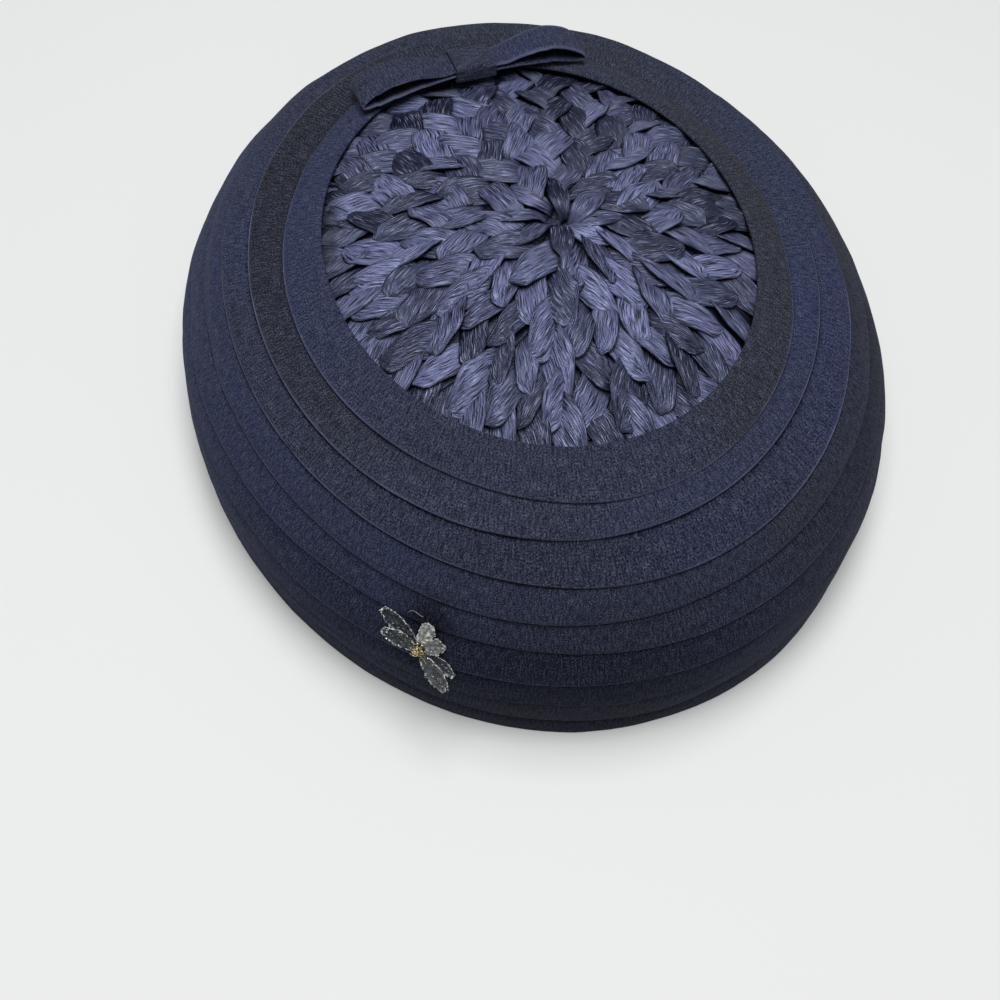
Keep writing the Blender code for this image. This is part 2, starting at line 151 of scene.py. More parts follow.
@dataclass(frozen=True)
class HatForm:
    """The hat's form, with the same sizes as its solids.

    Attributes:
        length: Size along Y, over the widest fold.
        width: Size along X, over the widest fold.
        side_height: Height of the crown opening's edge.
        wall: Thickness of the solids' cloth.
        clearance: Gap between lapped solids.
        swell: How far a fold stands out in its middle.
        tuck: Share of a fold that is tucked under the fold above it.
        crown_dome: Height of the crown tip's dome over its edge.
        plait_relief: Height of the crown tip's raised pads.
        gather: Middle of the plait's rings, in plan.
        edges: The crown opening's edge and each fold's lower edge, from the top down.
    """

    length: float = 0.208
    width: float = 0.180
    side_height: float = 0.059
    wall: float = 0.0016
    clearance: float = 0.0003
    swell: float = 0.0004
    tuck: float = 0.40
    crown_dome: float = 0.0080
    plait_relief: float = 0.0014
    gather: Vector = Vector((0.0045, -0.0025, 0.0))
    edges: tuple[FoldEdge, ...] = (
        FoldEdge(0.570, 1.000, 0.00, 0, 0.07, 2, 310),
        FoldEdge(0.673, 0.920, 0.00, 0, 0.08, 3, 70),
        FoldEdge(0.760, 0.882, 0.17, 150, 0.04, 3, 0),
        FoldEdge(0.842, 0.820, 0.12, 200, 0.12, 2, 290),
        FoldEdge(0.903, 0.697, 0.00, 0, 0.07, 4, 245),
        FoldEdge(0.953, 0.578, 0.00, 0, 0.16, 2, 330),
        FoldEdge(0.989, 0.445, 0.00, 0, 0.09, 4, 215),
        FoldEdge(1.000, 0.302, 0.00, 0, 0.06, 5, 215),
        FoldEdge(0.994, 0.150, 0.00, 0, 0.18, 3, 265),
        FoldEdge(0.994, 0.000, 0.00, 0, 0.00, 3, 0),
    )

    @property
    def fold_count(self) -> int:
        """Return the number of folds."""
        return len(self.edges) - 1

    def rim_vector(self, bearing: float) -> Vector:
        """Return the plan vector from the middle to the widest outline."""
        angle = math.radians(bearing)
        return Vector((self.width / 2 * math.cos(angle), self.length / 2 * math.sin(angle), 0.0))

    def smooth_between(self, values: Sequence[float], position: float) -> float:
        """Read a smooth curve through evenly spaced values.

        Args:
            values: The values at 0, 1, 2 and so on.
            position: Where it is read.

        Returns:
            Its value there.
        """
        last = len(values) - 1
        start = min(max(int(math.floor(position)), 0), last - 1)
        t = position - start
        before = values[max(start - 1, 0)]
        low, high = values[start], values[start + 1]
        after = values[min(start + 2, last)]
        slope_low, slope_high = (high - before) / 2, (after - low) / 2
        return (
            low * (2 * t**3 - 3 * t**2 + 1)
            + slope_low * (t**3 - 2 * t**2 + t)
            + high * (3 * t**2 - 2 * t**3)
            + slope_high * (t**3 - t**2)
        )

    def profile_point(self, fold: float, bearing: float) -> Vector:
        """Find a point of the hat's outline.

        Args:
            fold: Fractional fold number, 0 at the crown opening.
            bearing: Bearing of the half-plane.

        Returns:
            Its (radius, height).
        """
        spread = self.smooth_between([edge.spread for edge in self.edges], fold)
        height = self.smooth_between([edge.height for edge in self.edges], fold)
        return Vector((self.rim_vector(bearing).length * spread, self.side_height * height))

    def edge_point(self, number: int, bearing: float) -> Vector:
        """Find a fold's lower edge, with its drift and waver.

        Args:
            number: The fold's number, or 0 for the crown opening.
            bearing: Bearing of the half-plane.

        Returns:
            Its (radius, height).
        """
        edge = self.edges[number]
        shift = edge.drift * cosine(bearing - edge.drift_bearing)
        shift += edge.waver * cosine(edge.lobes * (bearing - edge.waver_bearing))
        return self.profile_point(number + shift, bearing)

    def fold_lines(self, bearing: float, lap: float) -> list[FoldLine]:
        """Return every fold's line at a bearing.

        Args:
            bearing: Bearing of the half-plane.
            lap: How far under the fold above it a fold starts.

        Returns:
            The lines, from the crown down.
        """
        lines = []
        start = self.edge_point(0, bearing)
        for number in range(1, self.fold_count + 1):
            edge = self.edge_point(number, bearing)
            along = (edge - start).normalized()
            outward = Vector((-along.y, along.x))
            lines.append(FoldLine(start, edge, along, outward))
            start = edge - outward * lap
        return lines

    def to_space(self, point: Vector, bearing: float) -> Vector:
        """Carry (radius, height) into space at a bearing."""
        return self.rim_vector(bearing).normalized() * point.x + Vector((0.0, 0.0, point.y))

    def crown_level(self) -> float:
        """Return the height of the crown tip's top at the opening."""
        return self.side_height - (self.wall + self.clearance) * 1.05

    def roof_height(self, x: float, y: float) -> float:
        """Find a height that the hat's top stays under.

        Args:
            x: The place in plan along X.
            y: The same along Y.

        Returns:
            The height.
        """
        spread = math.hypot(x / (self.width / 2), y / (self.length / 2))
        opening = self.edges[0].spread
        if spread < opening:
            dome = self.crown_level() + self.crown_dome * (1 - (spread / opening) ** 2)
            return max(dome + self.plait_relief, self.side_height)
        lower = next((i for i, edge in enumerate(self.edges) if edge.spread > spread), self.fold_count)
        low, high = self.edges[lower - 1], self.edges[lower]
        share = (spread - low.spread) / (high.spread - low.spread)
        return self.side_height * (low.height + (high.height - low.height) * share) + self.swell


class Bench:
    """Adds and links the nodes of one tree, with short calls."""

    def __init__(self, tree: bpy.types.NodeTree) -> None:
        """Keep the tree."""
        self.tree = tree

    def add(self, kind: str, inputs: dict | None = None, **settings: object) -> bpy.types.Node:
        """Add a node.

        Args:
            kind: The node's type name.
            inputs: Values, or sockets to link, by input name or number.
            settings: The node's own properties.

        Returns:
            The new node.
        """
        node = self.tree.nodes.new(kind)
        for name, value in settings.items():
            setattr(node, name, value)
        self.feed(node, inputs or {})
        return node

    def feed(self, node: bpy.types.Node, inputs: dict) -> None:
        """Set or link a node's inputs.

        Args:
            node: The node.
            inputs: Values, or sockets to link, by input name or number.
        """
        for name, value in inputs.items():
            if isinstance(value, Socket):
                self.tree.links.new(value, node.inputs[name])
            else:
                node.inputs[name].default_value = value

    def effect(self, group: bpy.types.NodeTree, inputs: dict) -> bpy.types.NodeOutputs:
        """Return the outputs of a node group that is fed with inputs."""
        return self.add("ShaderNodeGroup", inputs, node_tree=group).outputs

    def math(self, operation: str, first: object, second: object = 0.0) -> Socket:
        """Return the result of a Math node on two values or sockets."""
        return self.add("ShaderNodeMath", {0: first, 1: second}, operation=operation).outputs[0]

    def mix(self, share: object, first: object, second: object, blend: str = "MIX") -> Socket:
        """Mix two colours.

        Args:
            share: How much of the second colour there is.
            first: A colour or a socket.
            second: The same.
            blend: How the second colour is laid over the first.

        Returns:
            The mixed colour.
        """
        node = self.add("ShaderNodeMix", {"Factor": share}, data_type="RGBA", blend_type=blend)
        for number, value in ((6, first), (7, second)):
            linked = isinstance(value, Socket)
            self.feed(node, {number: value if linked else (*value, 1.0)})
        return node.outputs[2]

    def noise(self, vector: object, scale: float, detail: float = 2.0) -> Socket:
        """Return the value of a Noise Texture on a vector."""
        inputs = {"Vector": vector, "Scale": scale, "Detail": detail}
        return self.add("ShaderNodeTexNoise", inputs).outputs["Fac"]

    def span(
        self, value: object, low: float, high: float, out_low: float = 0.0, out_high: float = 1.0
    ) -> Socket:
        """Carry a value from one range to another, held inside the second.

        Args:
            value: A value or a socket.
            low: Start of the first range.
            high: End of the first range.
            out_low: What low becomes.
            out_high: What high becomes.

        Returns:
            The new value.
        """
        names = ("Value", "From Min", "From Max", "To Min", "To Max")
        inputs = dict(zip(names, (value, low, high, out_low, out_high)))
        return self.add("ShaderNodeMapRange", inputs).outputs[0]

    def stretch(self, vector: object, scale: Sequence[float]) -> Socket:
        """Return a vector scaled by a Mapping node."""
        return self.add("ShaderNodeMapping", {"Vector": vector, "Scale": tuple(scale)}).outputs[0]

    def attribute(self, name: str) -> Socket:
        """Return the value of a mesh attribute."""
        return self.add("ShaderNodeAttribute", attribute_name=name).outputs["Fac"]

    def uv(self) -> Socket:
        """Return the piece's own UV map, in metres along its weave."""
        return self.add("ShaderNodeUVMap", uv_map=CLOTH_UV).outputs[0]


def shader_group(
    name: str,
    inputs: Sequence[tuple[str, str]],
    outputs: Sequence[tuple[str, str]],
    fill: Callable[[Bench, bpy.types.Node], Sequence[Socket]],
) -> bpy.types.NodeTree:
    """Build a shared effect once as a node group.

    Args:
        name: The group's name.
        inputs: (name, socket type) of each input.
        outputs: (name, socket type) of each output.
        fill: Adds the nodes and returns the socket for each output.

    Returns:
        The group, which is the same one on every call with its name.
    """
    if name in bpy.data.node_groups:
        return bpy.data.node_groups[name]
    group = bpy.data.node_groups.new(name, "ShaderNodeTree")
    for socket, kind in inputs:
        group.interface.new_socket(socket, in_out="INPUT", socket_type=kind)
    for socket, kind in outputs:
        group.interface.new_socket(socket, in_out="OUTPUT", socket_type=kind)
    bench = Bench(group)
    results = fill(bench, bench.add("NodeGroupInput"))
    leaving = bench.add("NodeGroupOutput")
    for number, socket in enumerate(results):
        group.links.new(socket, leaving.inputs[number])
    return group


def crepe_grain() -> bpy.types.NodeTree:
    """Build the crepe effect: fine pebbled grain with slight ribs.

    Returns:
        The group, which gives a height, the pits and the light speckle of the grain.
    """

    def fill(bench: Bench, source: bpy.types.Node) -> Sequence[Socket]:
        """Add the grain, the ribs and the nap.

        Args:
            bench: The group's bench.
            source: The group's inputs.

        Returns:
            The sockets of its outputs.
        """
        vector = source.outputs["Vector"]
        grain = bench.noise(vector, 3000.0, 2.0)
        ribs = bench.noise(bench.stretch(vector, (2600.0, 420.0, 1.0)), 1.0, 2.0)
        nap = bench.noise(bench.stretch(vector, (160.0, 900.0, 1.0)), 1.0, 3.0)
        height = bench.math("ADD", bench.math("MULTIPLY", grain, 0.6), bench.math("MULTIPLY", ribs, 0.5))
        mixed = bench.math("ADD", bench.math("MULTIPLY", grain, 0.65), bench.math("MULTIPLY", ribs, 0.35))
        pits = bench.span(mixed, 0.36, 0.50, 1.0, 0.0)
        raised = bench.span(mixed, 0.48, 0.68)
        speckle = bench.math("MULTIPLY", raised, bench.span(nap, 0.3, 0.7, 0.4, 1.0))
        return height, pits, speckle

    vector = [("Vector", "NodeSocketVector")]
    results = [(name, "NodeSocketFloat") for name in ("Height", "Pits", "Speckle")]
    return shader_group("crepe_grain", vector, results, fill)


def fibre_streaks() -> bpy.types.NodeTree:
    """Build the fibre effect: long thin strands with a few deep splits.

    Returns:
        The group, which gives a height, the light streaks and the few brightest ones.
    """

    def fill(bench: Bench, source: bpy.types.Node) -> Sequence[Socket]:
        """Add the strands and the splits.

        Args:
            bench: The group's bench.
            source: The group's inputs.

        Returns:
            The sockets of its outputs.
        """
        vector = source.outputs["Vector"]
        wander = bench.noise(bench.stretch(vector, (120.0, 120.0, 1.0)), 1.0, 2.0)
        sideways = bench.math("MULTIPLY", bench.math("SUBTRACT", wander, 0.5), 0.0022)
        shift = bench.add("ShaderNodeCombineXYZ", {0: sideways}).outputs[0]
        bent = bench.add("ShaderNodeVectorMath", {0: vector, 1: shift}, operation="ADD").outputs[0]
        strands = bench.noise(bench.stretch(bent, (5200.0, 210.0, 1.0)), 1.0, 2.0)
        cords = bench.noise(bench.stretch(bent, (1300.0, 90.0, 1.0)), 1.0, 2.0)
        coarse = bench.noise(bench.stretch(bent, (1500.0, 110.0, 1.0)), 1.0, 1.0)
        split = bench.span(coarse, 0.30, 0.40)
        height = bench.math("ADD", bench.math("MULTIPLY", strands, 0.8), bench.math("MULTIPLY", cords, 0.3))
        height = bench.math("ADD", height, bench.math("MULTIPLY", split, 0.4))
        unsplit = bench.span(split, 0.0, 1.0, 0.05, 1.0)
        streak = bench.math("MULTIPLY", bench.span(strands, 0.40, 0.51), unsplit)
        return height, streak, bench.span(strands, 0.58, 0.68)

    vector = [("Vector", "NodeSocketVector")]
    results = [(name, "NodeSocketFloat") for name in ("Height", "Streak", "Glint")]
    return shader_group("fibre_streaks", vector, results, fill)


def painted_edge_highlight() -> bpy.types.NodeTree:
    """Build the painted highlight on fold edges.

    Returns:
        The group, which gives a colour with a painted highlight where the Highlight value is high.
    """

    def fill(bench: Bench, source: bpy.types.Node) -> Sequence[Socket]:
        """Break the painted highlight up into patches and mix its lighter colour in.

        Args:
            bench: The group's bench.
            source: The group's inputs.

        Returns:
            The socket of its output.
        """
        patches = bench.span(bench.noise(source.outputs["Vector"], 90.0, 3.0), 0.30, 0.65, 0.25, 1.0)
        broken = bench.math("MULTIPLY", source.outputs["Highlight"], patches)
        share = bench.math("MULTIPLY", broken, source.outputs["Amount"])
        return (bench.mix(share, source.outputs["Color"], source.outputs["Highlight Color"]),)

    inputs = [
        ("Vector", "NodeSocketVector"),
        ("Color", "NodeSocketColor"),
        ("Highlight Color", "NodeSocketColor"),
        ("Highlight", "NodeSocketFloat"),
        ("Amount", "NodeSocketFloat"),
    ]
    return shader_group("painted_edge_highlight", inputs, [("Color", "NodeSocketColor")], fill)


def new_material(name: str) -> tuple[Material, Bench, bpy.types.Node]:
    """Start a node material.

    Args:
        name: Its name.

    Returns:
        The material, its bench and its Principled shader.
    """
    material = bpy.data.materials.new(name)
    material.use_nodes = True
    bench = Bench(material.node_tree)
    return material, bench, material.node_tree.nodes["Principled BSDF"]


def bump_into(bench: Bench, shader: bpy.types.Node, height: object, strength: float, distance: float) -> None:
    """Feed a height to a shader's normal through a Bump node."""
    bump = bench.add("ShaderNodeBump", {"Height": height, "Strength": strength, "Distance": distance})
    bench.tree.links.new(bump.outputs[0], shader.inputs["Normal"])


@dataclass(frozen=True)
class CrepeFinish:
    """Matte crepe that is charcoal in some places and navy in others.

    Attributes:
        charcoal: Colour where the tint attribute is 0.
        navy: Colour where the tint attribute is 1.
        pit: Colour in the pits of the grain.
        worn: Colour of the raised threads of the grain.
        edge: Colour of the painted highlight on fold edges.
        shade_and_darkening: What the colour is multiplied by where the painted shade and darkening attribute
            is 1.
        roughness: Roughness of the cloth.
    """

    charcoal: Colour = (0.0250, 0.0276, 0.0345)
    navy: Colour = (0.0260, 0.0335, 0.0800)
    pit: Colour = (0.0060, 0.0068, 0.0110)
    worn: Colour = (0.115, 0.124, 0.175)
    edge: Colour = (0.190, 0.210, 0.340)
    shade_and_darkening: Colour = (0.05, 0.06, 0.09)
    roughness: float = 0.88

    def material(self) -> Material:
        """Build the crepe material.

        Returns:
            The material.
        """
        material, bench, shader = new_material("navy_crepe")
        place = bench.add("ShaderNodeTexCoord").outputs["Object"]
        grain = bench.effect(crepe_grain(), {"Vector": bench.uv()})
        drift = bench.span(bench.noise(place, 28.0, 3.0), 0.3, 0.7, -0.22, 0.22)
        tint = bench.math("ADD", bench.attribute("tint"), drift)
        cloth = bench.mix(bench.span(tint, 0.0, 1.0), self.charcoal, self.navy)
        cloth = bench.mix(bench.math("MULTIPLY", grain["Pits"], 0.92), cloth, self.pit)
        # Painted shade: this attribute darkens the cloth in front, at the right, under each fold's edge, on
        # the turned-under hem and inside the bow's loops; it also darkens fold 2 at its left and the cloth
        # round the sprig.
        darkness = bench.attribute("shade_and_darkening")
        cloth = bench.mix(darkness, cloth, self.shade_and_darkening, "MULTIPLY")
        undarkened = bench.span(darkness, 0.0, 1.0, 1.0, 0.32)
        cloth = bench.mix(bench.math("MULTIPLY", grain["Speckle"], undarkened), cloth, self.worn)
        # Painted highlight: light lines on the fold edges and the bow's edges stand in for light caught by
        # the edges.
        frost_and_highlight = {
            "Vector": place,
            "Color": cloth,
            "Highlight Color": (*self.edge, 1.0),
            "Highlight": bench.attribute("frost_and_highlight"),
            "Amount": 0.85,
        }
        finish = {
            "Base Color": bench.effect(painted_edge_highlight(), frost_and_highlight)["Color"],
            "Roughness": bench.span(grain["Speckle"], 0.0, 1.0, self.roughness + 0.05, self.roughness - 0.08),
            "Specular IOR Level": 0.07,
            "Sheen Weight": 0.05,
            "Sheen Roughness": 0.45,
            "Sheen Tint": (0.70, 0.74, 1.0, 1.0),
        }
        bench.feed(shader, finish)
        bump_into(bench, shader, grain["Height"], 0.9, 0.00032)
        return material


@dataclass(frozen=True)
class StrawFinish:
    """Satin fibre ribbon in slate blue, with dark splits between its strands.

    Attributes:
        deep: Colour in the splits, and of the painted shade in crevices and where ribbons go under.
        body: Colour of a dark ribbon.
        light: Colour of a light ribbon.
        glint: Colour of single bright fibres, a painted highlight.
        roughness: Roughness of the fibres.
        crevice: How far the painted crevice shade reaches from a ribbon onto the one beside it.
    """

    deep: Colour = (0.0020, 0.0024, 0.0060)
    body: Colour = (0.012, 0.015, 0.038)
    light: Colour = (0.158, 0.172, 0.330)
    glint: Colour = (0.480, 0.510, 0.740)
    roughness: float = 0.36
    crevice: float = 0.0019

    def material(self) -> Material:
        """Build the straw material.

        Returns:
            The material.
        """
        material, bench, shader = new_material("plaited_straw")
        streaks = bench.effect(fibre_streaks(), {"Vector": bench.uv()})
        ribbon = bench.mix(bench.attribute("tint"), self.body, self.light)
        strand = bench.mix(streaks["Streak"], self.deep, ribbon)
        # Painted highlight: single fibres coloured bright for the glint of shiny fibres.
        strand = bench.mix(bench.math("MULTIPLY", streaks["Glint"], 0.55), strand, self.glint)
        # Painted shade: ambient occlusion and a mesh attribute darken the base colour in crevices, at the
        # ribbons' sides and where they go under.
        nearby = bench.add(
            "ShaderNodeAmbientOcclusion", {"Distance": self.crevice}, samples=6, only_local=True
        )
        shaded = bench.span(nearby.outputs["AO"], 0.38, 0.88, 0.97, 0.0)
        dark = bench.math("MAXIMUM", bench.attribute("shade_and_darkening"), shaded)
        tangent = bench.add("ShaderNodeTangent", direction_type="UV_MAP", uv_map=CLOTH_UV)
        finish = {
            "Base Color": bench.mix(dark, strand, self.deep),
            "Roughness": bench.span(streaks["Streak"], 0.0, 1.0, self.roughness + 0.25, self.roughness),
            "Tangent": tangent.outputs[0],
            "Anisotropic": 0.92,
            "IOR": 1.6,
            "Specular IOR Level": 0.8,
            "Specular Tint": (0.62, 0.68, 1.0, 1.0),
        }
        bench.feed(shader, finish)
        bump_into(bench, shader, streaks["Height"], 0.8, 0.0005)
        return material


@dataclass(frozen=True)
class PetalFinish:
    """Sheer gauze with a bright, frosted edge.

    Attributes:
        gauze: Colour of the film.
        frost: Colour of the frosting.
    """

    gauze: Colour = (0.014, 0.019, 0.028)
    frost: Colour = (0.80, 0.82, 0.78)

    def material(self) -> Material:
        """Build the petal material.

        Returns:
            The material.
        """
        material, bench, shader = new_material("sheer_gauze")
        place = bench.add("ShaderNodeTexCoord").outputs["Object"]
        veins = bench.noise(bench.stretch(bench.uv(), (2200.0, 420.0, 1.0)), 1.0, 2.0)
        flecks = bench.span(bench.noise(place, 1100.0, 2.0), 0.48, 0.60)
        edge = bench.math("MULTIPLY", bench.attribute("frost_and_highlight"), bench.span(flecks, 0.0, 1.0, 0.05, 0.90))
        frost = bench.math("MAXIMUM", edge, bench.math("MULTIPLY", flecks, 0.10))
        pale = bench.math("MULTIPLY", bench.attribute("tint"), bench.span(flecks, 0.0, 1.0, 0.50, 1.0))
        share = bench.math("MAXIMUM", frost, pale)
        finish = {
            "Base Color": bench.mix(share, self.gauze, self.frost),
            "Alpha": bench.span(share, 0.0, 0.6, 0.35, 0.98),
            "Roughness": bench.span(veins, 0.2, 0.8, 0.22, 0.45),
            "Specular IOR Level": 0.2,
        }
        bench.feed(shader, finish)
        bump_into(bench, shader, veins, 0.6, 0.0002)
        return material


@dataclass(frozen=True)
class GlintFinish:
    """Small bright pieces: gilt beads, or silvery glitter.

    Attributes:
        name: The material's name.
        colours: The colours at tint 0 and at tint 1.
        metallic: 1 for gilt, less for glitter film.
        roughness: Roughness of the bright places.
    """

    name: str
    colours: tuple[Colour, Colour]
    metallic: float = 1.0
    roughness: float = 0.28

    def material(self) -> Material:
        """Build the bright material.

        Returns:
            The material.
        """
        material, bench, shader = new_material(self.name)
        place = bench.add("ShaderNodeTexCoord").outputs["Object"]
        patches = bench.noise(place, 900.0, 2.0)
        tarnish = bench.span(patches, 0.35, 0.65, 0.35, 1.0)
        bright = bench.mix(bench.attribute("tint"), self.colours[0], self.colours[1])
        dull = bench.mix(tarnish, tuple(value * 0.35 for value in self.colours[0]), bright)
        rough = bench.span(patches, 0.3, 0.7, self.roughness + 0.15, self.roughness - 0.08)
        bench.feed(shader, {"Base Color": dull, "Roughness": rough, "Metallic": self.metallic})
        bump_into(bench, shader, patches, 0.4, 0.0001)
        return material


@dataclass(frozen=True)
class TableFinish:
    """Pale, smooth table top.

    Attributes:
        colour: Its colour.
    """

    colour: Colour = (0.800, 0.800, 0.785)

    def material(self) -> Material:
        """Build the table's material.

        Returns:
            The material.
        """
        material, bench, shader = new_material("pale_table")
        place = bench.add("ShaderNodeTexCoord").outputs["Object"]
        soft = bench.span(bench.noise(place, 3.0, 2.0), 0.3, 0.7)
        darker = tuple(value * 0.985 for value in self.colour)
        bench.feed(shader, {"Base Color": bench.mix(soft, self.colour, darker), "Roughness": 0.75})
        return material


def start_clean() -> None:
    """Leave edit mode and deselect every object."""
    if bpy.context.mode != "OBJECT":
        bpy.ops.object.mode_set(mode="OBJECT")
    bpy.ops.object.select_all(action="DESELECT")


def float_attribute(mesh: bpy.types.Mesh, name: str, values: Sequence[float]) -> None:
    """Write one value a vertex into a mesh attribute."""
    layer = mesh.attributes.get(name) or mesh.attributes.new(name, "FLOAT", "POINT")
    layer.data.foreach_set("value", list(values))


def face_outwards(piece: Piece) -> None:
    """Turn a closed piece's faces outwards and shade it smooth.

    Args:
        piece: The piece.
    """
    mesh_data = bmesh.new()
    mesh_data.from_mesh(piece.data)
    bmesh.ops.recalc_face_normals(mesh_data, faces=mesh_data.faces)
    mesh_data.to_mesh(piece.data)
    mesh_data.free()
    piece.data.shade_smooth()


def corner_order(part: bmesh.types.BMEdge | bmesh.types.BMFace) -> float:
    """Return a number that sorts edges and faces by their corners."""
    corners = [corner.index for corner in part.verts]
    return min(corners) * 4096.0 + max(corners)


def order_parts(piece: Piece) -> None:
    """Sort a piece's edges and faces, which an extrusion leaves in no fixed order.

    Args:
        piece: The piece.
    """
    mesh_data = bmesh.new()
    mesh_data.from_mesh(piece.data)
    mesh_data.edges.sort(key=corner_order)
    mesh_data.faces.sort(key=corner_order)
    mesh_data.to_mesh(piece.data)
    mesh_data.free()


def looped_band(name: str, sections: Sequence[Sequence[Vector]]) -> Piece:
    """Shape a torus primitive into a band that closes on itself.

    Args:
        name: The piece's name.
        sections: Closed cross sections round the loop, each with as many points.

    Returns:
        The piece, with a UV map in metres round the loop and across the section.
    """
    start_clean()
    majors, minors = len(sections), len(sections[0])
    bpy.ops.mesh.primitive_torus_add(major_segments=majors, minor_segments=minors)
    band = bpy.context.object
    band.name = name
    mesh = band.data
    mesh.name = name
    mesh.vertices.foreach_set("co", [value for section in sections for point in section for value in point])
    around = running_lengths([section[0] for section in sections])
    across = running_lengths(list(sections[0]))
    for layer in list(mesh.uv_layers):
        mesh.uv_layers.remove(layer)
    uv = mesh.uv_layers.new(name=CLOTH_UV)
    for polygon in mesh.polygons:
        places = [divmod(mesh.vertices[i].index, minors) for i in polygon.vertices]
        wraps = {place[0] for place in places} >= {0, majors - 1}
        closes = {place[1] for place in places} >= {0, minors - 1}
        for loop, (major, minor) in zip(polygon.loop_indices, places):
            major = majors if wraps and major == 0 else major
            minor = minors if closes and minor == 0 else minor
            uv.data[loop].uv = (around[major], across[minor])
    mesh.update()
    face_outwards(band)
    return band


def running_lengths(points: Sequence[Vector]) -> list[float]:
    """Measure along a closed line.

    Args:
        points: The line's points.

    Returns:
        The length so far at each point, and the whole length last.
    """
    lengths = [0.0]
    for i, point in enumerate(points):
        lengths.append(lengths[-1] + (points[(i + 1) % len(points)] - point).length)
    return lengths


def dress(piece: Piece, material: Material, nodes: Sequence[str] = ()) -> Piece:
    """Give a piece its material, let it ride on the hat, and let it stand for its solids.

    Args:
        piece: The finished piece.
        material: Its material.
        nodes: The solids that it replaces.

    Returns:
        The piece.
    """
    piece.data.materials.clear()
    piece.data.materials.append(material)
    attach(piece, "root")
    if nodes:
        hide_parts(*nodes)
    log.info("%s: %d faces", piece.name, len(piece.data.polygons))
    return piece


class Pucker(NamedTuple):
    """A small crease pressed into a fold.

    Attributes:
        fold: The fold's number.
        bearing: Where its middle is round the hat.
        place: Where its middle is on the fold, from 0 at the upper line to 1 at the edge.
        height: How high it stands.
        run: How far round the hat it runs, in degrees.
        slant: How steeply it crosses the fold.
    """

    fold: int
    bearing: float
    place: float
    height: float
    run: float
    slant: float


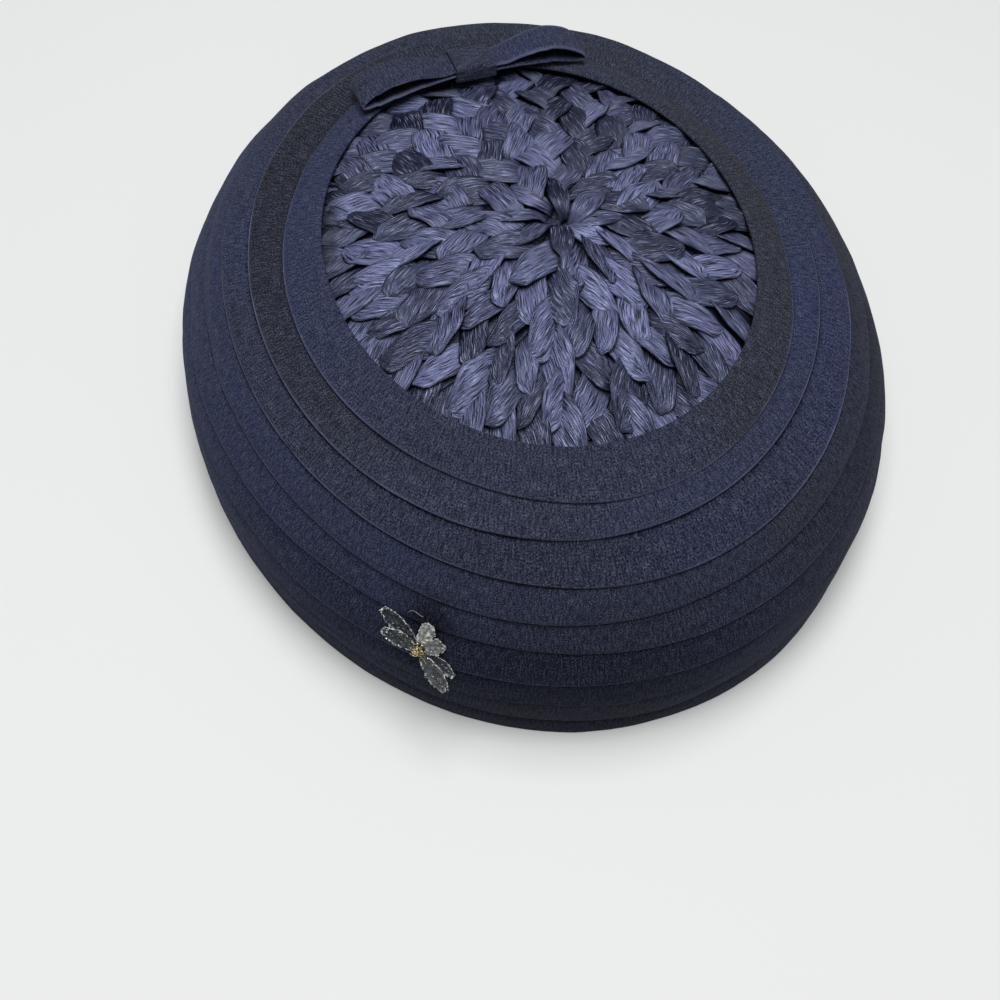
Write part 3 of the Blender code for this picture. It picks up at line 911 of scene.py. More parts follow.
@dataclass
class ClothFolds:
    """The nine lapped folds of crepe round the hat.

    Attributes:
        form: The hat's form.
        cloth: Thickness that shows at a fold's edge.
        gap: Gap between lapped folds.
        around: Sections round the hat.
        navy_bearings: Where each fold is bluest, from the crown down.
        navy_shares: How blue each fold is all round.
        front_blue: What blue the front adds to every fold.
        left_blue: What blue the third fold has besides, at the left.
        edge_highlight_rows: How strong the painted edge highlight is on the rows of vertices next to the
            edge, by row from it.
        low_edge_highlight: How strong the painted highlight is on the lowest folds' edges in front.
        front_shades: How strong the painted shade on each fold is in front.
        right_shade: How strong the painted shade on the lower folds is at the right.
        left_darkening: How dark the second fold is at the left.
        hem_shade: How strong the painted shade is on the last fold's lower half at the left, where the hem
            turns under.
        hem_turn: How far the hem turns in under the hat.
        longer_lap: How far the first fold laps further over the second.
        sprig_folds: Numbers of the folds that are darkened round the sprig.
        sprig_darkening: How far that darkening fades.
        outer_places: Where the vertices of the outer face lie, from 0 to 1 down the fold.
        inner_places: The same on the inner face.
        tucked_places: The same on the tucked margin, from -1 at its end to 0.
        roll_angles: Angles of the vertices round a rolled edge.
        puckers: The creases.
        lines: Every fold's line at each section, once they are worked out.
    """

    form: HatForm
    cloth: float = 0.0009
    gap: float = 0.00014
    around: int = 256
    navy_bearings: tuple[float, ...] = (150, 335, 345, 165, 165, 170, 170, 170, 170)
    navy_shares: tuple[float, ...] = (0.14, 0.10, 0.16, 0.22, 0.22, 0.26, 0.28, 0.28, 0.28)
    front_blue: Patch = Patch(0.22, 250.0, 60.0)
    left_blue: Patch = Patch(0.55, 155.0, 42.0)
    edge_highlight_rows: dict[int, float] = field(default_factory=lambda: {-1: 0.15, 0: 0.75, 1: 1.0, 2: 0.6})
    low_edge_highlight: Patch = Patch(0.30, 240.0, 60.0)
    front_shades: tuple[float, ...] = (0.08, 0.14, 0.32, 0.34, 0.50, 0.74, 0.84, 0.84, 0.86)
    right_shade: Patch = Patch(0.55, 340.0, 70.0)
    left_darkening: Patch = Patch(0.32, 155.0, 62.0)
    hem_shade: Patch = Patch(0.85, 210.0, 48.0)
    hem_turn: Patch = Patch(0.0010, 212.0, 34.0)
    longer_lap: Patch = Patch(0.0018, 265.0, 30.0)
    sprig_folds: tuple[int, ...] = (4, 5, 6, 7)
    sprig_darkening: float = 0.0090
    outer_places: tuple[float, ...] = (0.06, 0.13, 0.22, 0.32, 0.43, 0.54, 0.65, 0.75, 0.84, 0.91, 0.955)
    inner_places: tuple[float, ...] = (0.93, 0.75, 0.55, 0.35, 0.15)
    tucked_places: tuple[float, ...] = (-1.0, -0.7, -0.35, 0.0)
    roll_angles: tuple[float, ...] = (72.0, 36.0, 0.0, -36.0, -72.0)
    puckers: tuple[Pucker, ...] = (
        Pucker(3, 284, 0.30, 0.00050, 5.0, 0.5),
        Pucker(3, 291, 0.35, 0.00040, 4.0, -0.4),
        Pucker(4, 309, 0.45, 0.00045, 6.0, 0.6),
        Pucker(5, 246, 0.30, 0.00035, 5.0, 0.4),
        Pucker(4, 172, 0.55, 0.00060, 9.0, 0.3),
        Pucker(7, 236, 0.40, 0.00050, 6.0, -0.5),
        Pucker(2, 40, 0.50, 0.00035, 7.0, 0.3),
        Pucker(6, 20, 0.50, 0.00045, 8.0, 0.4),
        Pucker(5, 100, 0.50, 0.00045, 8.0, -0.3),
    )
    lines: dict[int, list[FoldLine]] = field(default_factory=dict)

    def bearing(self, column: int) -> float:
        """Return the bearing of a section."""
        return 360.0 * column / self.around

    def read_lines(self) -> None:
        """Work out every fold's line at every section."""
        for column in range(self.around):
            self.lines[column] = self.form.fold_lines(self.bearing(column), self.cloth + self.gap)

    def rise(self, number: int, place: float, bearing: float, near: Vector) -> float:
        """Return how far the cloth stands off its line: its swell, ripples and puckers.

        Args:
            number: The fold's number.
            place: 0 at the fold's upper line and 1 at its edge, below 0 in its tucked margin.
            bearing: The bearing.
            near: A point in space close by, for the ripples.

        Returns:
            The distance along the outward direction.
        """
        if place <= 0.0:
            return 0.0
        free = smooth_step(0.0, 0.25, place)
        swell = self.form.swell * 4 * place * (1 - place)
        seed = Vector((0.0, 0.0, number * 3.7))
        ripple = noise.noise(near * 38.0 + seed) * 0.00042
        crimp = noise.noise(Vector((bearing * 0.34, place * 1.3, number * 5.1))) * 0.00010
        drape = noise.noise(Vector((bearing * 0.09 + place * 0.9, place * 1.1, number * 2.3))) * 0.00035
        rise = swell + (ripple + crimp + drape) * free
        for pucker in self.puckers:
            if pucker.fold == number:
                turn = turn_between(bearing, pucker.bearing)
                ridge = bell(place - pucker.place - pucker.slant * turn / pucker.run * 0.3, 0.13)
                rise += pucker.height * ridge * bell(turn, pucker.run) * free
        return rise

    def turned_under(self, number: int, place: float, bearing: float) -> float:
        """Return how far the last fold's hem turns in under the hat at its lower left."""
        turned = self.hem_turn.at(bearing) * smooth_step(0.25, 1.0, place)
        return turned if number == self.form.fold_count else 0.0

    def longer_share(self, number: int, bearing: float, line: FoldLine) -> float:
        """Return by what share of its height the first fold laps further over the second, in front."""
        return self.longer_lap.at(bearing) / (line.edge - line.start).length if number == 1 else 0.0

    def at(self, number: int, column: int, place: float, depth: float) -> Vector:
        """Return the point of a fold's face in space.

        Args:
            number: The fold's number.
            column: The section's number.
            place: 0 at the upper line, 1 at the edge, and down to -1 at the end of the tucked margin.
            depth: 0 on the outer face and 1 on the inner face.

        Returns:
            The point.
        """
        bearing = self.bearing(column)
        line = self.lines[column][number - 1]
        if place < 0.0:
            above = self.lines[column][number - 2]
            reach = (above.edge - above.start).length * self.form.tuck
            flat = line.start + above.along * (place * reach) - above.outward * (self.cloth * depth)
            return self.form.to_space(flat, bearing)
        longer = self.longer_share(number, bearing, line)
        flat = line.start.lerp(line.edge, place * (1 + longer))
        near = self.form.to_space(flat, bearing)
        stand = self.rise(number, place, bearing, near) - self.cloth * depth
        stand += 0.0030 * longer * smooth_step(0.5, 1.0, place)
        flat = flat + line.outward * stand - Vector((self.turned_under(number, place, bearing), 0.0))
        return self.form.to_space(flat, bearing)

    def roll(self, number: int, column: int, place: float, way: float) -> list[Vector]:
        """Return the points round a rolled edge, from one face to the other.

        Args:
            number: The fold's number.
            column: The section's number.
            place: 1 at the lower edge and 0 at the crown opening.
            way: 1 from the outer face inwards, or -1 from the inner face outwards.

        Returns:
            The points.
        """
        bearing = self.bearing(column)
        line = self.lines[column][number - 1]
        along = line.along if place > 0.5 else -line.along
        radial = self.form.rim_vector(bearing).normalized()
        outward = radial * line.outward.x + Vector((0.0, 0.0, line.outward.y))
        onward = radial * along.x + Vector((0.0, 0.0, along.y))
        half = self.cloth / 2
        centre = self.at(number, column, place, 0.5) - onward * half
        points = []
        for angle in self.roll_angles:
            turned = math.radians(angle * way)
            points.append(centre + (outward * math.sin(turned) + onward * math.cos(turned)) * half)
        return points

    def section(self, number: int, column: int) -> list[Vector]:
        """Lay out a fold's closed cross section.

        Args:
            number: The fold's number.
            column: The section's number.

        Returns:
            Its points, down the outer face and back up the inner one.
        """
        outer = [self.at(number, column, place, 0.0) for place in self.outer_places]
        inner = [self.at(number, column, place, 1.0) for place in self.inner_places]
        if number == 1:
            top = self.roll(number, column, 0.0, -1.0)
            return top + outer + self.roll(number, column, 1.0, 1.0) + inner
        tucked = [self.at(number, column, place, 0.0) for place in self.tucked_places]
        under = [self.at(number, column, place, 1.0) for place in reversed(self.tucked_places)]
        points = tucked + outer + self.roll(number, column, 1.0, 1.0) + inner + under
        for point in points:
            point.z = max(point.z, 0.0)
        return points

    def navy(self, number: int, bearing: float) -> float:
        """Find how blue a fold is.

        Args:
            number: The fold's number.
            bearing: The bearing.

        Returns:
            0 for charcoal, 1 for navy, or between.
        """
        bluest = Patch(0.85, self.navy_bearings[number - 1], 62.0)
        navy = self.navy_shares[number - 1] + bluest.at(bearing) + self.front_blue.at(bearing)
        if number == 3:
            navy += self.left_blue.at(bearing)
        return min(max(navy, 0.0), 1.0)

    def edge_light(self, number: int, bearing: float) -> float:
        """Return how strong the painted highlight on a fold's edge is, from 0 to 1."""
        side = 0.10 + 0.90 * abs(cosine(bearing - 345.0)) ** 1.5
        return max(side, self.low_edge_highlight.at(bearing) * smooth_step(4.5, 7.0, number))

    def darkness(self, number: int, bearing: float) -> float:
        """Find the painted shade on a fold in front and at the right, and how dark fold 2 is at its left.

        Args:
            number: The fold's number.
            bearing: The bearing.

        Returns:
            0 for clean, 1 for darkest, or between.
        """
        front = Patch(self.front_shades[number - 1], 255.0, 62.0).at(bearing)
        side = self.right_shade.at(bearing) * smooth_step(2.8, 5.0, number)
        return max(front, self.left_darkening.at(bearing) if number == 2 else side)

    def shades(self, number: int) -> tuple[list[float], list[float], list[float]]:
        """Work out the colour values of every vertex of a fold.

        Args:
            number: The fold's number.

        Returns:
            The tint, the painted edge highlight, and the painted shade and darkening of each vertex.
        """
        tint, frost_and_highlight, shade_and_darkening = [], [], []
        first = len(self.roll_angles) if number == 1 else len(self.tucked_places)
        edge = first + len(self.outer_places)
        count = len(self.section(number, 0))
        for column in range(self.around):
            bearing = self.bearing(column)
            navy = self.navy(number, bearing)
            edge_light = self.edge_light(number, bearing)
            darkness = self.darkness(number, bearing)
            for row in range(count):
                tint.append(navy)
                # Painted highlight on the rows at the fold's lower edge.
                frost_and_highlight.append(edge_light * self.edge_highlight_rows.get(row - edge, 0.0))
                place = 1.0 if row >= edge else self.outer_places[row - first] if row >= first else 0.0
                # Painted shade on the turned-under hem and under the edge of the fold above.
                hem = self.hem_shade.at(bearing) * smooth_step(0.30, 0.60, place)
                under_edge_shade = 0.90 * (1 - smooth_step(0.0, 0.12, place)) if number > 1 and row < edge else 0.0
                shade_and_darkening.append(max(darkness, under_edge_shade, hem if number == self.form.fold_count else 0.0))
        return tint, frost_and_highlight, shade_and_darkening

    def darken_by_sprig(self, band: Piece, place: Vector) -> None:
        """Darken the cloth round a place.

        Args:
            band: The fold.
            place: The place in space.
        """
        layer = band.data.attributes["shade_and_darkening"].data
        for vertex, item in zip(band.data.vertices, layer):
            item.value = max(item.value, bell((vertex.co - place).length, self.sprig_darkening))

    def build(self, material: Material, darkened_at: Vector) -> list[Piece]:
        """Build all the folds and measure each one's folded strip.

        Args:
            material: Their material.
            darkened_at: The place that the folds by the sprig are darkened round.

        Returns:
            The folds, from the crown down.
        """
        self.read_lines()
        bands = []
        for number in range(1, self.form.fold_count + 1):
            sections = [self.section(number, column) for column in range(self.around)]
            band = looped_band(f"cloth_fold_{number}", sections)
            tint, frost_and_highlight, shade_and_darkening = self.shades(number)
            float_attribute(band.data, "tint", tint)
            float_attribute(band.data, "frost_and_highlight", frost_and_highlight)
            float_attribute(band.data, "shade_and_darkening", shade_and_darkening)
            if number in self.sprig_folds:
                self.darken_by_sprig(band, darkened_at)
            dress(band, material, [f"fold_{number}"])
            bands.append(band)
        for number, band in enumerate(bands, start=1):
            wide, long = self.cut_size(number)
        return bands

    def cut_size(self, number: int) -> tuple[float, float]:
        """Measure a fold's folded strip as it was before it was laid round the hat.

        Args:
            number: The fold's number.

        Returns:
            Its width and length.
        """
        wide, radii = 0.0, 0.0
        for column in range(self.around):
            line = self.lines[column][number - 1]
            wide += (line.edge - line.start).length
            radii += (line.edge + line.start).x / 2
            if number > 1:
                above = self.lines[column][number - 2]
                wide += (above.edge - above.start).length * self.form.tuck
        return wide / self.around, math.tau * radii / self.around


class Segment(NamedTuple):
    """A visible stretch of straw ribbon, where it passes over its neighbours.

    Attributes:
        middle: Its middle, in plan.
        lean: How far it leans from straight out, in degrees.
        cell: The length that shows.
        width: The ribbon's width.
        skew: Slant of both ends.
        rise: Height of its crest.
        tilt: Slope across it.
        pitching: How far it slopes along.
        groove: Depth of the crease along it.
        tint: 0 for a dark ribbon and 1 for a light one.
        gathered: 1 where its inner end is drawn together.
        shingled: 1 where its outer end lies on top, 0 where both ends go under.
    """

    middle: Vector
    lean: float
    cell: float
    width: float
    skew: float
    rise: float
    tilt: float
    pitching: float
    groove: float
    tint: float
    gathered: float
    shingled: float


class Spot(NamedTuple):
    """The place of a segment round the gather: its bearing and its distance."""

    bearing: float
    radius: float


@dataclass
class PlaitedCrown:
    """The crown tip: straw ribbons plaited over and under each other round an off-centre gather.

    Attributes:
        form: The hat's form.
        step: Distance from one ring of segments to the next, in most places.
        step_far: The same near the far bearing, where the plait is squarer.
        step_more: What is added to it on the near side, where the segments are longest.
        pitch: Distance between the segments of a ring, in most places.
        pitch_far: The same near the far bearing.
        far_bearing: Where the plait is square.
        first_radius: Distance of the innermost ring from the gather.
        first_count: Segments in it.
        last_radius: Distance past which no ring is added.
        covered: How far under the first fold a segment's middle may lie.
        wide_place: Where the one extra-wide ribbon lies, in plan.
        columns: Vertices across a segment.
        rows: Vertices along a segment.
        straw: Thickness of a ribbon.
        between: Thickness of the flattened layer.
        depth: How far the flattened layer lies under the plait's middle surface.
        drop: How far the lower layer lies under it.
        seed: Start of the random draws.
        middle: Middle of the pinched gather, in plan.
        slit: Half the length of the gather's pinch.
        slit_bearing: The way the pinch runs.
        darker: How much darker the ribbons are at the far right.
        rim_shadow: How dark the ribbons are where the first fold stands off from the plait.
    """

    form: HatForm
    step: float = 0.0072
    step_far: float = 0.0058
    step_more: float = 0.0014
    pitch: float = 0.0075
    pitch_far: float = 0.0094
    far_bearing: float = 105.0
    first_radius: float = 0.0074
    first_count: int = 8
    last_radius: float = 0.070
    covered: float = 0.0062
    wide_place: Vector = Vector((0.004, -0.045, 0.0))
    columns: int = 9
    rows: int = 12
    straw: float = 0.00035
    between: float = 0.0006
    depth: float = 0.0012
    drop: float = 0.0022
    seed: int = 11
    middle: Vector = Vector((0.0050, 0.0000, 0.0))
    slit: float = 0.0030
    slit_bearing: float = 339.0
    darker: Patch = Patch(0.22, 70.0, 60.0)
    rim_shadow: Patch = Patch(1.0, 160.0, 15.0)

    def slit_direction(self) -> Vector:
        """Return the direction that the pinched gather runs in."""
        return plan_direction(self.slit_bearing)

    def from_slit(self, place: Vector) -> float:
        """Measure how far a place is from the pinched gather.

        Args:
            place: The place in plan.

        Returns:
            The distance.
        """
        offset = place - self.middle
        run = min(max(offset.dot(self.slit_direction()), -self.slit), self.slit)
        return (offset - self.slit_direction() * run).length

    def opening_distance(self, direction: Vector) -> float:
        """Measure how far the crown opening is from the gather.

        Args:
            direction: The level direction to measure in.

        Returns:
            The distance.
        """
        spread = self.form.edges[0].spread
        wide, long = self.form.width / 2 * spread - 0.0009, self.form.length / 2 * spread - 0.0009
        gather = self.form.gather
        a = (direction.x / wide) ** 2 + (direction.y / long) ** 2
        b = gather.x * direction.x / wide**2 + gather.y * direction.y / long**2
        c = (gather.x / wide) ** 2 + (gather.y / long) ** 2 - 1
        return (-b + math.sqrt(b * b - a * c)) / a

    def height(self, place: Vector) -> float:
        """Find the height of the plait's middle surface.

        Args:
            place: The place in plan.

        Returns:
            The height.
        """
        offset = place - self.form.gather
        distance = offset.length
        opening = self.opening_distance(offset.normalized()) if distance > 1e-6 else 1.0
        share = distance / opening
        dome = self.form.crown_dome * (1 - share**2)
        pit = 0.0024 * bell(self.from_slit(place), 0.0022)
        billow = noise.noise(Vector((place.x, place.y, 0.3)) * 60.0) * 0.0010 * min(1.0, share * 2)
        sunk = 0.0008 * smooth_step(0.82, 1.0, share) + 0.25 * max(distance - opening, 0.0)
        return self.form.crown_level() + dome - pit + billow * (1 - smooth_step(0.8, 1.0, share)) - sunk

    def squareness(self, bearing: float) -> float:
        """Return 1 at the far bearing, where the plait is square, and 0 well away from it."""
        return bell(turn_between(bearing, self.far_bearing), 48.0)

    def step_at(self, bearing: float) -> float:
        """Return the distance between rings at a bearing."""
        longer = self.step_more * bell(turn_between(bearing, 250.0), 85.0)
        return self.step + longer + (self.step_far - self.step) * self.squareness(bearing)

    def pitch_at(self, bearing: float) -> float:
        """Return the distance between the segments of a ring at a bearing."""
        return self.pitch + (self.pitch_far - self.pitch) * self.squareness(bearing)

    def next_ring(self, ring: Sequence[Spot], excess: float) -> list[Spot]:
        """Set the next ring's segments between those of the last one, with more where room opens up.

        Args:
            ring: The ring inside it.
            excess: Share of a segment carried over, which staggers where segments are added.

        Returns:
            The spots of the next ring.
        """
        grown = []
        for i, spot in enumerate(ring):
            ahead = ring[(i + 1) % len(ring)]
            gap = (ahead.bearing - spot.bearing) % 360.0
            middle = spot.bearing + gap / 2
            radius = (spot.radius + ahead.radius) / 2 + self.step_at(middle)
            excess += math.radians(gap) * radius / self.pitch_at(middle) - 1.0
            if excess > 0.5:
                excess -= 1.0
                grown.append(Spot((spot.bearing + gap * 0.27) % 360.0, radius))
                grown.append(Spot((spot.bearing + gap * 0.73) % 360.0, radius))
            elif excess > -0.5:
                grown.append(Spot(middle % 360.0, radius))
            else:
                excess += 1.0
        for _ in range(3):
            grown = self.evened(grown)
        return grown

    def evened(self, ring: Sequence[Spot]) -> list[Spot]:
        """Move each segment of a ring a little towards the middle of its neighbours.

        Args:
            ring: The ring.

        Returns:
            The evened ring.
        """
        moved = []
        for i, spot in enumerate(ring):
            before = turn_between(ring[i - 1].bearing, spot.bearing)
            after = turn_between(ring[(i + 1) % len(ring)].bearing, spot.bearing)
            moved.append(Spot((spot.bearing + 0.30 * (before + after) / 2) % 360.0, spot.radius))
        return moved

    def segments(self) -> list[Segment]:
        """Choose every segment, ring by ring, each ring leaning against the one inside it.

        Returns:
            The segments.
        """
        chance = random.Random(self.seed)
        chosen = []
        bearings = [360.0 * (i + 0.62) / self.first_count for i in range(self.first_count)]
        ring = [Spot(bearing, self.first_radius) for bearing in bearings]
        sign = 1.0
        first = True
        while ring:
            for i, spot in enumerate(ring):
                segment = self.segment(ring, i, sign, first, chance)
                if segment is not None:
                    chosen.append(segment)
            if min(spot.radius for spot in ring) > self.last_radius:
                break
            ring = self.next_ring(ring, chance.uniform(-0.4, 0.4))
            sign = -sign
            first = False
        return chosen

    def segment(
        self, ring: Sequence[Spot], number: int, sign: float, first: bool, chance: random.Random
    ) -> Segment | None:
        """Choose one segment's shape from its place in its ring.

        Args:
            ring: The ring's spots.
            number: The segment's number in it.
            sign: 1 or -1, the way this ring leans.
            first: True in the innermost ring.
            chance: Source of the small differences between segments.

        Returns:
            The segment, or None where it would lie wholly under the folds.
        """
        spot = ring[number]
        before = -turn_between(ring[number - 1].bearing, spot.bearing)
        after = turn_between(ring[(number + 1) % len(ring)].bearing, spot.bearing)
        pitch = math.radians((before + after) / 2) * spot.radius
        step = self.step_at(spot.bearing)
        angle = math.atan(pitch / (2 * step))
        direction = plan_direction(spot.bearing)
        middle = self.middle + direction * (spot.radius + chance.uniform(-0.0006, 0.0006))
        slit = self.slit * cosine(spot.bearing - self.slit_bearing)
        middle += self.slit_direction() * (slit * bell(spot.radius, 0.030))
        if spot.radius > self.opening_distance(direction) + self.covered:
            return None
        broad = 1.65 if (middle - self.wide_place).length < 0.0045 else chance.uniform(0.86, 1.22)
        lean = math.degrees(angle) * sign * (0.55 if first else 1.0) + chance.uniform(-6.0, 6.0)
        slant = min(1.0 / math.tan(2 * angle), 0.95)
        return Segment(
            middle=middle,
            lean=lean,
            cell=step / math.cos(angle) * (1.08 if broad < 1.5 else 1.3),
            width=pitch * math.cos(angle) * broad * 1.04,
            skew=-sign * (0.1 if first else max(slant, 0.0)),
            rise=chance.uniform(0.00055, 0.00095) + (0.0004 if broad > 1.5 else 0.0),
            tilt=chance.uniform(-0.34, 0.34),
            pitching=chance.uniform(-0.0003, 0.0003),
            groove=chance.choice((0.0, 0.0, 0.00030, 0.00045)),
            tint=min(max(chance.gauss(0.46, 0.42) - self.darker.at(spot.bearing), 0.0), 1.0),
            gathered=1.0 if first else 0.0,
            shingled=1.0 - self.squareness(spot.bearing),
        )

    def lay(self, segment: Segment, across: float, along: float, side: float) -> Vector:
        """Return the place in space of a ribbon's point.

        Args:
            segment: The segment.
            across: -1 at one long edge and 1 at the other.
            along: -1 at the inner end and 1 at the outer end.
            side: 1 for the upper layer of the plait and -1 for the lower one.

        Returns:
            The point.
        """
        outward = (segment.middle - self.middle).normalized()
        heading = Matrix.Rotation(math.radians(segment.lean), 3, "Z") @ outward
        sideways = Vector((-heading.y, heading.x, 0.0))
        narrow = 1 - 0.16 * abs(along) ** 3 - 0.45 * segment.gathered * smooth_step(0.1, 1.0, -along)
        narrow -= 0.78 * segment.shingled * max(0.0, (along - 0.18) / 0.82) ** 1.25
        seed = segment.middle.x * 900.0 + segment.middle.y * 1700.0
        ragged = 1 + 0.10 * noise.noise(Vector((along * 2.2, across, seed)))
        aside = segment.width / 2 * across * narrow * ragged
        crossing = segment.cell / 2 * along * (1.72 if along < 0.0 else 1.72 - 0.5 * segment.shingled)
        bend = 0.0005 * noise.noise(Vector((seed, along * 1.3, 9.0)))
        flat = segment.middle + heading * (crossing + segment.skew * aside) + sideways * (aside + bend)
        arch = segment.rise * (1 - self.fall(along, segment.shingled)) + segment.pitching * along
        profile = -0.00014 * across**10 + segment.tilt * aside
        pleat = noise.noise(Vector((across * 3.0, along * 0.7, seed + 20.0))) * 0.00024
        groove = -segment.groove * bell(across - 0.35 * math.sin(seed), 0.15) * bell(along - 0.2, 0.9)
        flutter = noise.noise(Vector((across, along * 1.6, seed + 40.0))) * 0.00030
        stand = (arch + profile + pleat + groove + flutter) * side
        return Vector((flat.x, flat.y, self.height(flat) + stand))

    def fall(self, along: float, shingled: float) -> float:
        """Return how far a segment falls from its crest, as a share of its rise.

        Args:
            along: -1 at the inner end and 1 at the outer end.
            shingled: 1 where the outer ends lie on top of the next ring, 0 where both ends go under.

        Returns:
            The share. Above 1 the segment lies under its neighbours.
        """
        if along < 0.0:
            return 2.4 * (-along) ** (3.6 - 1.2 * shingled)
        return (2.2 - 1.65 * shingled) * along**4.2

    def crowd(self, place: float) -> float:
        """Return a place between -1 and 1 moved towards its nearer end, so that edges come out crisp."""
        return math.copysign(1 - (1 - abs(place)) ** 1.6, place)

    def ribbon(self, columns: int, rows: int) -> tuple[list[tuple[float, float]], list[tuple[int, ...]]]:
        """Model the flat ribbon stretch that every segment of a layer is a copy of.

        Args:
            columns: Vertices across it.
            rows: Vertices along it.

        Returns:
            Its (across, along) places and its faces.
        """
        start_clean()
        bpy.ops.mesh.primitive_grid_add(x_subdivisions=columns - 1, y_subdivisions=rows - 1, size=2.0)
        ribbon = bpy.context.object
        places = [(self.crowd(vertex.co.x), self.crowd(vertex.co.y)) for vertex in ribbon.data.vertices]
        faces = [tuple(polygon.vertices) for polygon in ribbon.data.polygons]
        bpy.data.objects.remove(ribbon, do_unlink=True)
        return places, faces

    def rim_shade(self, point: Vector) -> float:
        """Find how dark a ribbon is beside the opening, where the first fold stands off at the left.

        Args:
            point: The ribbon's point.

        Returns:
            0 for clean, 1 for darkest, or between.
        """
        offset = Vector((point.x, point.y, 0.0)) - self.form.gather
        bearing = math.degrees(math.atan2(offset.y, offset.x))
        inside = self.opening_distance(offset.normalized()) - offset.length
        return self.rim_shadow.at(bearing) * (1.0 - smooth_step(0.0020, 0.0032, inside))

    def painted_tuck_shade(self, across: float, along: float, shingled: float) -> float:
        """Return the painted shade on a ribbon, from 0 to 1, towards its sides and the ends that go under."""
        ends = -along if along < 0.0 else along * (1 - 0.5 * shingled)
        return max(0.95 * smooth_step(0.72, 0.97, ends), 0.80 * smooth_step(0.90, 1.0, abs(across)))

    def build_layer(self, name: str, side: float, columns: int, rows: int) -> Piece:
        """Build one layer of the plait from copies of the ribbon stretch.

        Args:
            name: The piece's name.
            side: 1 for the upper layer and -1 for the lower one.
            columns: Vertices across a segment.
            rows: Vertices along a segment.

        Returns:
            The piece.
        """
        places, faces = self.ribbon(columns, rows)
        mesh_data = bmesh.new()
        uv = mesh_data.loops.layers.uv.new(CLOTH_UV)
        tints, painted_shades = [], []
        lowered = Vector((0.0, 0.0, -self.drop if side < 0.0 else 0.0))
        for number, segment in enumerate(self.segments()):
            points = [self.lay(segment, across, along, side) for across, along in places]
            made = [mesh_data.verts.new(point + lowered) for point in points]
            tints += [segment.tint] * len(made)
            # Painted shade where ribbons go under, and painted shadow beside the first fold.
            for (across, along), point in zip(places, points):
                painted_shades.append(max(self.painted_tuck_shade(across, along, segment.shingled), self.rim_shade(point)))
            for face in faces:
                new_face = mesh_data.faces.new([made[i] for i in face])
                for loop, i in zip(new_face.loops, face):
                    across, along = places[i]
                    loop[uv].uv = (segment.width / 2 * across + number * 0.031, segment.cell * 0.86 * along)
        layer = bpy.data.objects.new(name, bpy.data.meshes.new(name))
        bpy.context.scene.collection.objects.link(layer)
        mesh_data.to_mesh(layer.data)
        mesh_data.free()
        float_attribute(layer.data, "tint", tints)
        float_attribute(layer.data, "shade_and_darkening", painted_shades)
        layer.data.shade_smooth()
        self.thicken(layer, self.straw)
        return layer

    def build(self, material: Material) -> None:
        """Build both layers of the plait and the flattened ribbon between them.

        Args:
            material: Their material.
        """
        upper = self.build_layer("straw_plait", 1.0, self.columns, self.rows)
        dress(upper, material, ["crown_tip"])
        dress(self.build_layer("straw_plait_inside", -1.0, 6, 8), material)
        self.build_middle_layer(material)

    def thicken(self, piece: Piece, wall: float) -> None:
        """Give an open surface its wall, downwards, and apply it.

        Args:
            piece: The surface.
            wall: Its thickness.
        """
        start_clean()
        bpy.context.view_layer.objects.active = piece
        piece.select_set(True)
        solidify = piece.modifiers.new("wall", "SOLIDIFY")
        solidify.thickness = wall
        solidify.offset = -1.0
        bpy.ops.object.modifier_apply(modifier=solidify.name)

    def build_middle_layer(self, material: Material) -> None:
        """Build the layer of flattened ribbon inside the plait, painted dark as the shade seen through the
        plait's gaps.

        Args:
            material: Its material.
        """
        start_clean()
        count, rings = 96, 18
        bpy.ops.mesh.primitive_circle_add(vertices=count, radius=1.0, fill_type="NOTHING")
        layer = bpy.context.object
        layer.name = "straw_painted_shade_layer"
        bpy.ops.object.mode_set(mode="EDIT")
        for _ in range(rings):
            bpy.ops.mesh.extrude_edges_move()
        bpy.ops.object.mode_set(mode="OBJECT")
        order_parts(layer)
        uv = layer.data.uv_layers.new(name=CLOTH_UV)
        for vertex in layer.data.vertices:
            ring, column = divmod(vertex.index, count)
            direction = plan_direction(360.0 * column / count)
            share = max(1.05 * (1 - ring / rings), 0.004)
            flat = self.form.gather + direction * (self.opening_distance(direction) * share)
            vertex.co = Vector((flat.x, flat.y, self.height(flat) - self.depth))
        for polygon in layer.data.polygons:
            for loop in polygon.loop_indices:
                corner = layer.data.vertices[layer.data.loops[loop].vertex_index].co
                offset = corner - self.form.gather
                angle = math.atan2(offset.y, offset.x)
                uv.data[loop].uv = (angle * 0.03, math.hypot(offset.x, offset.y))
        count_all = len(layer.data.vertices)
        # Painted shade: the whole layer is darkened.
        float_attribute(layer.data, "shade_and_darkening", [0.85] * count_all)
        float_attribute(layer.data, "tint", [0.2] * count_all)
        layer.data.shade_smooth()
        self.thicken(layer, self.between)
        face_outwards(layer)
        dress(layer, material)


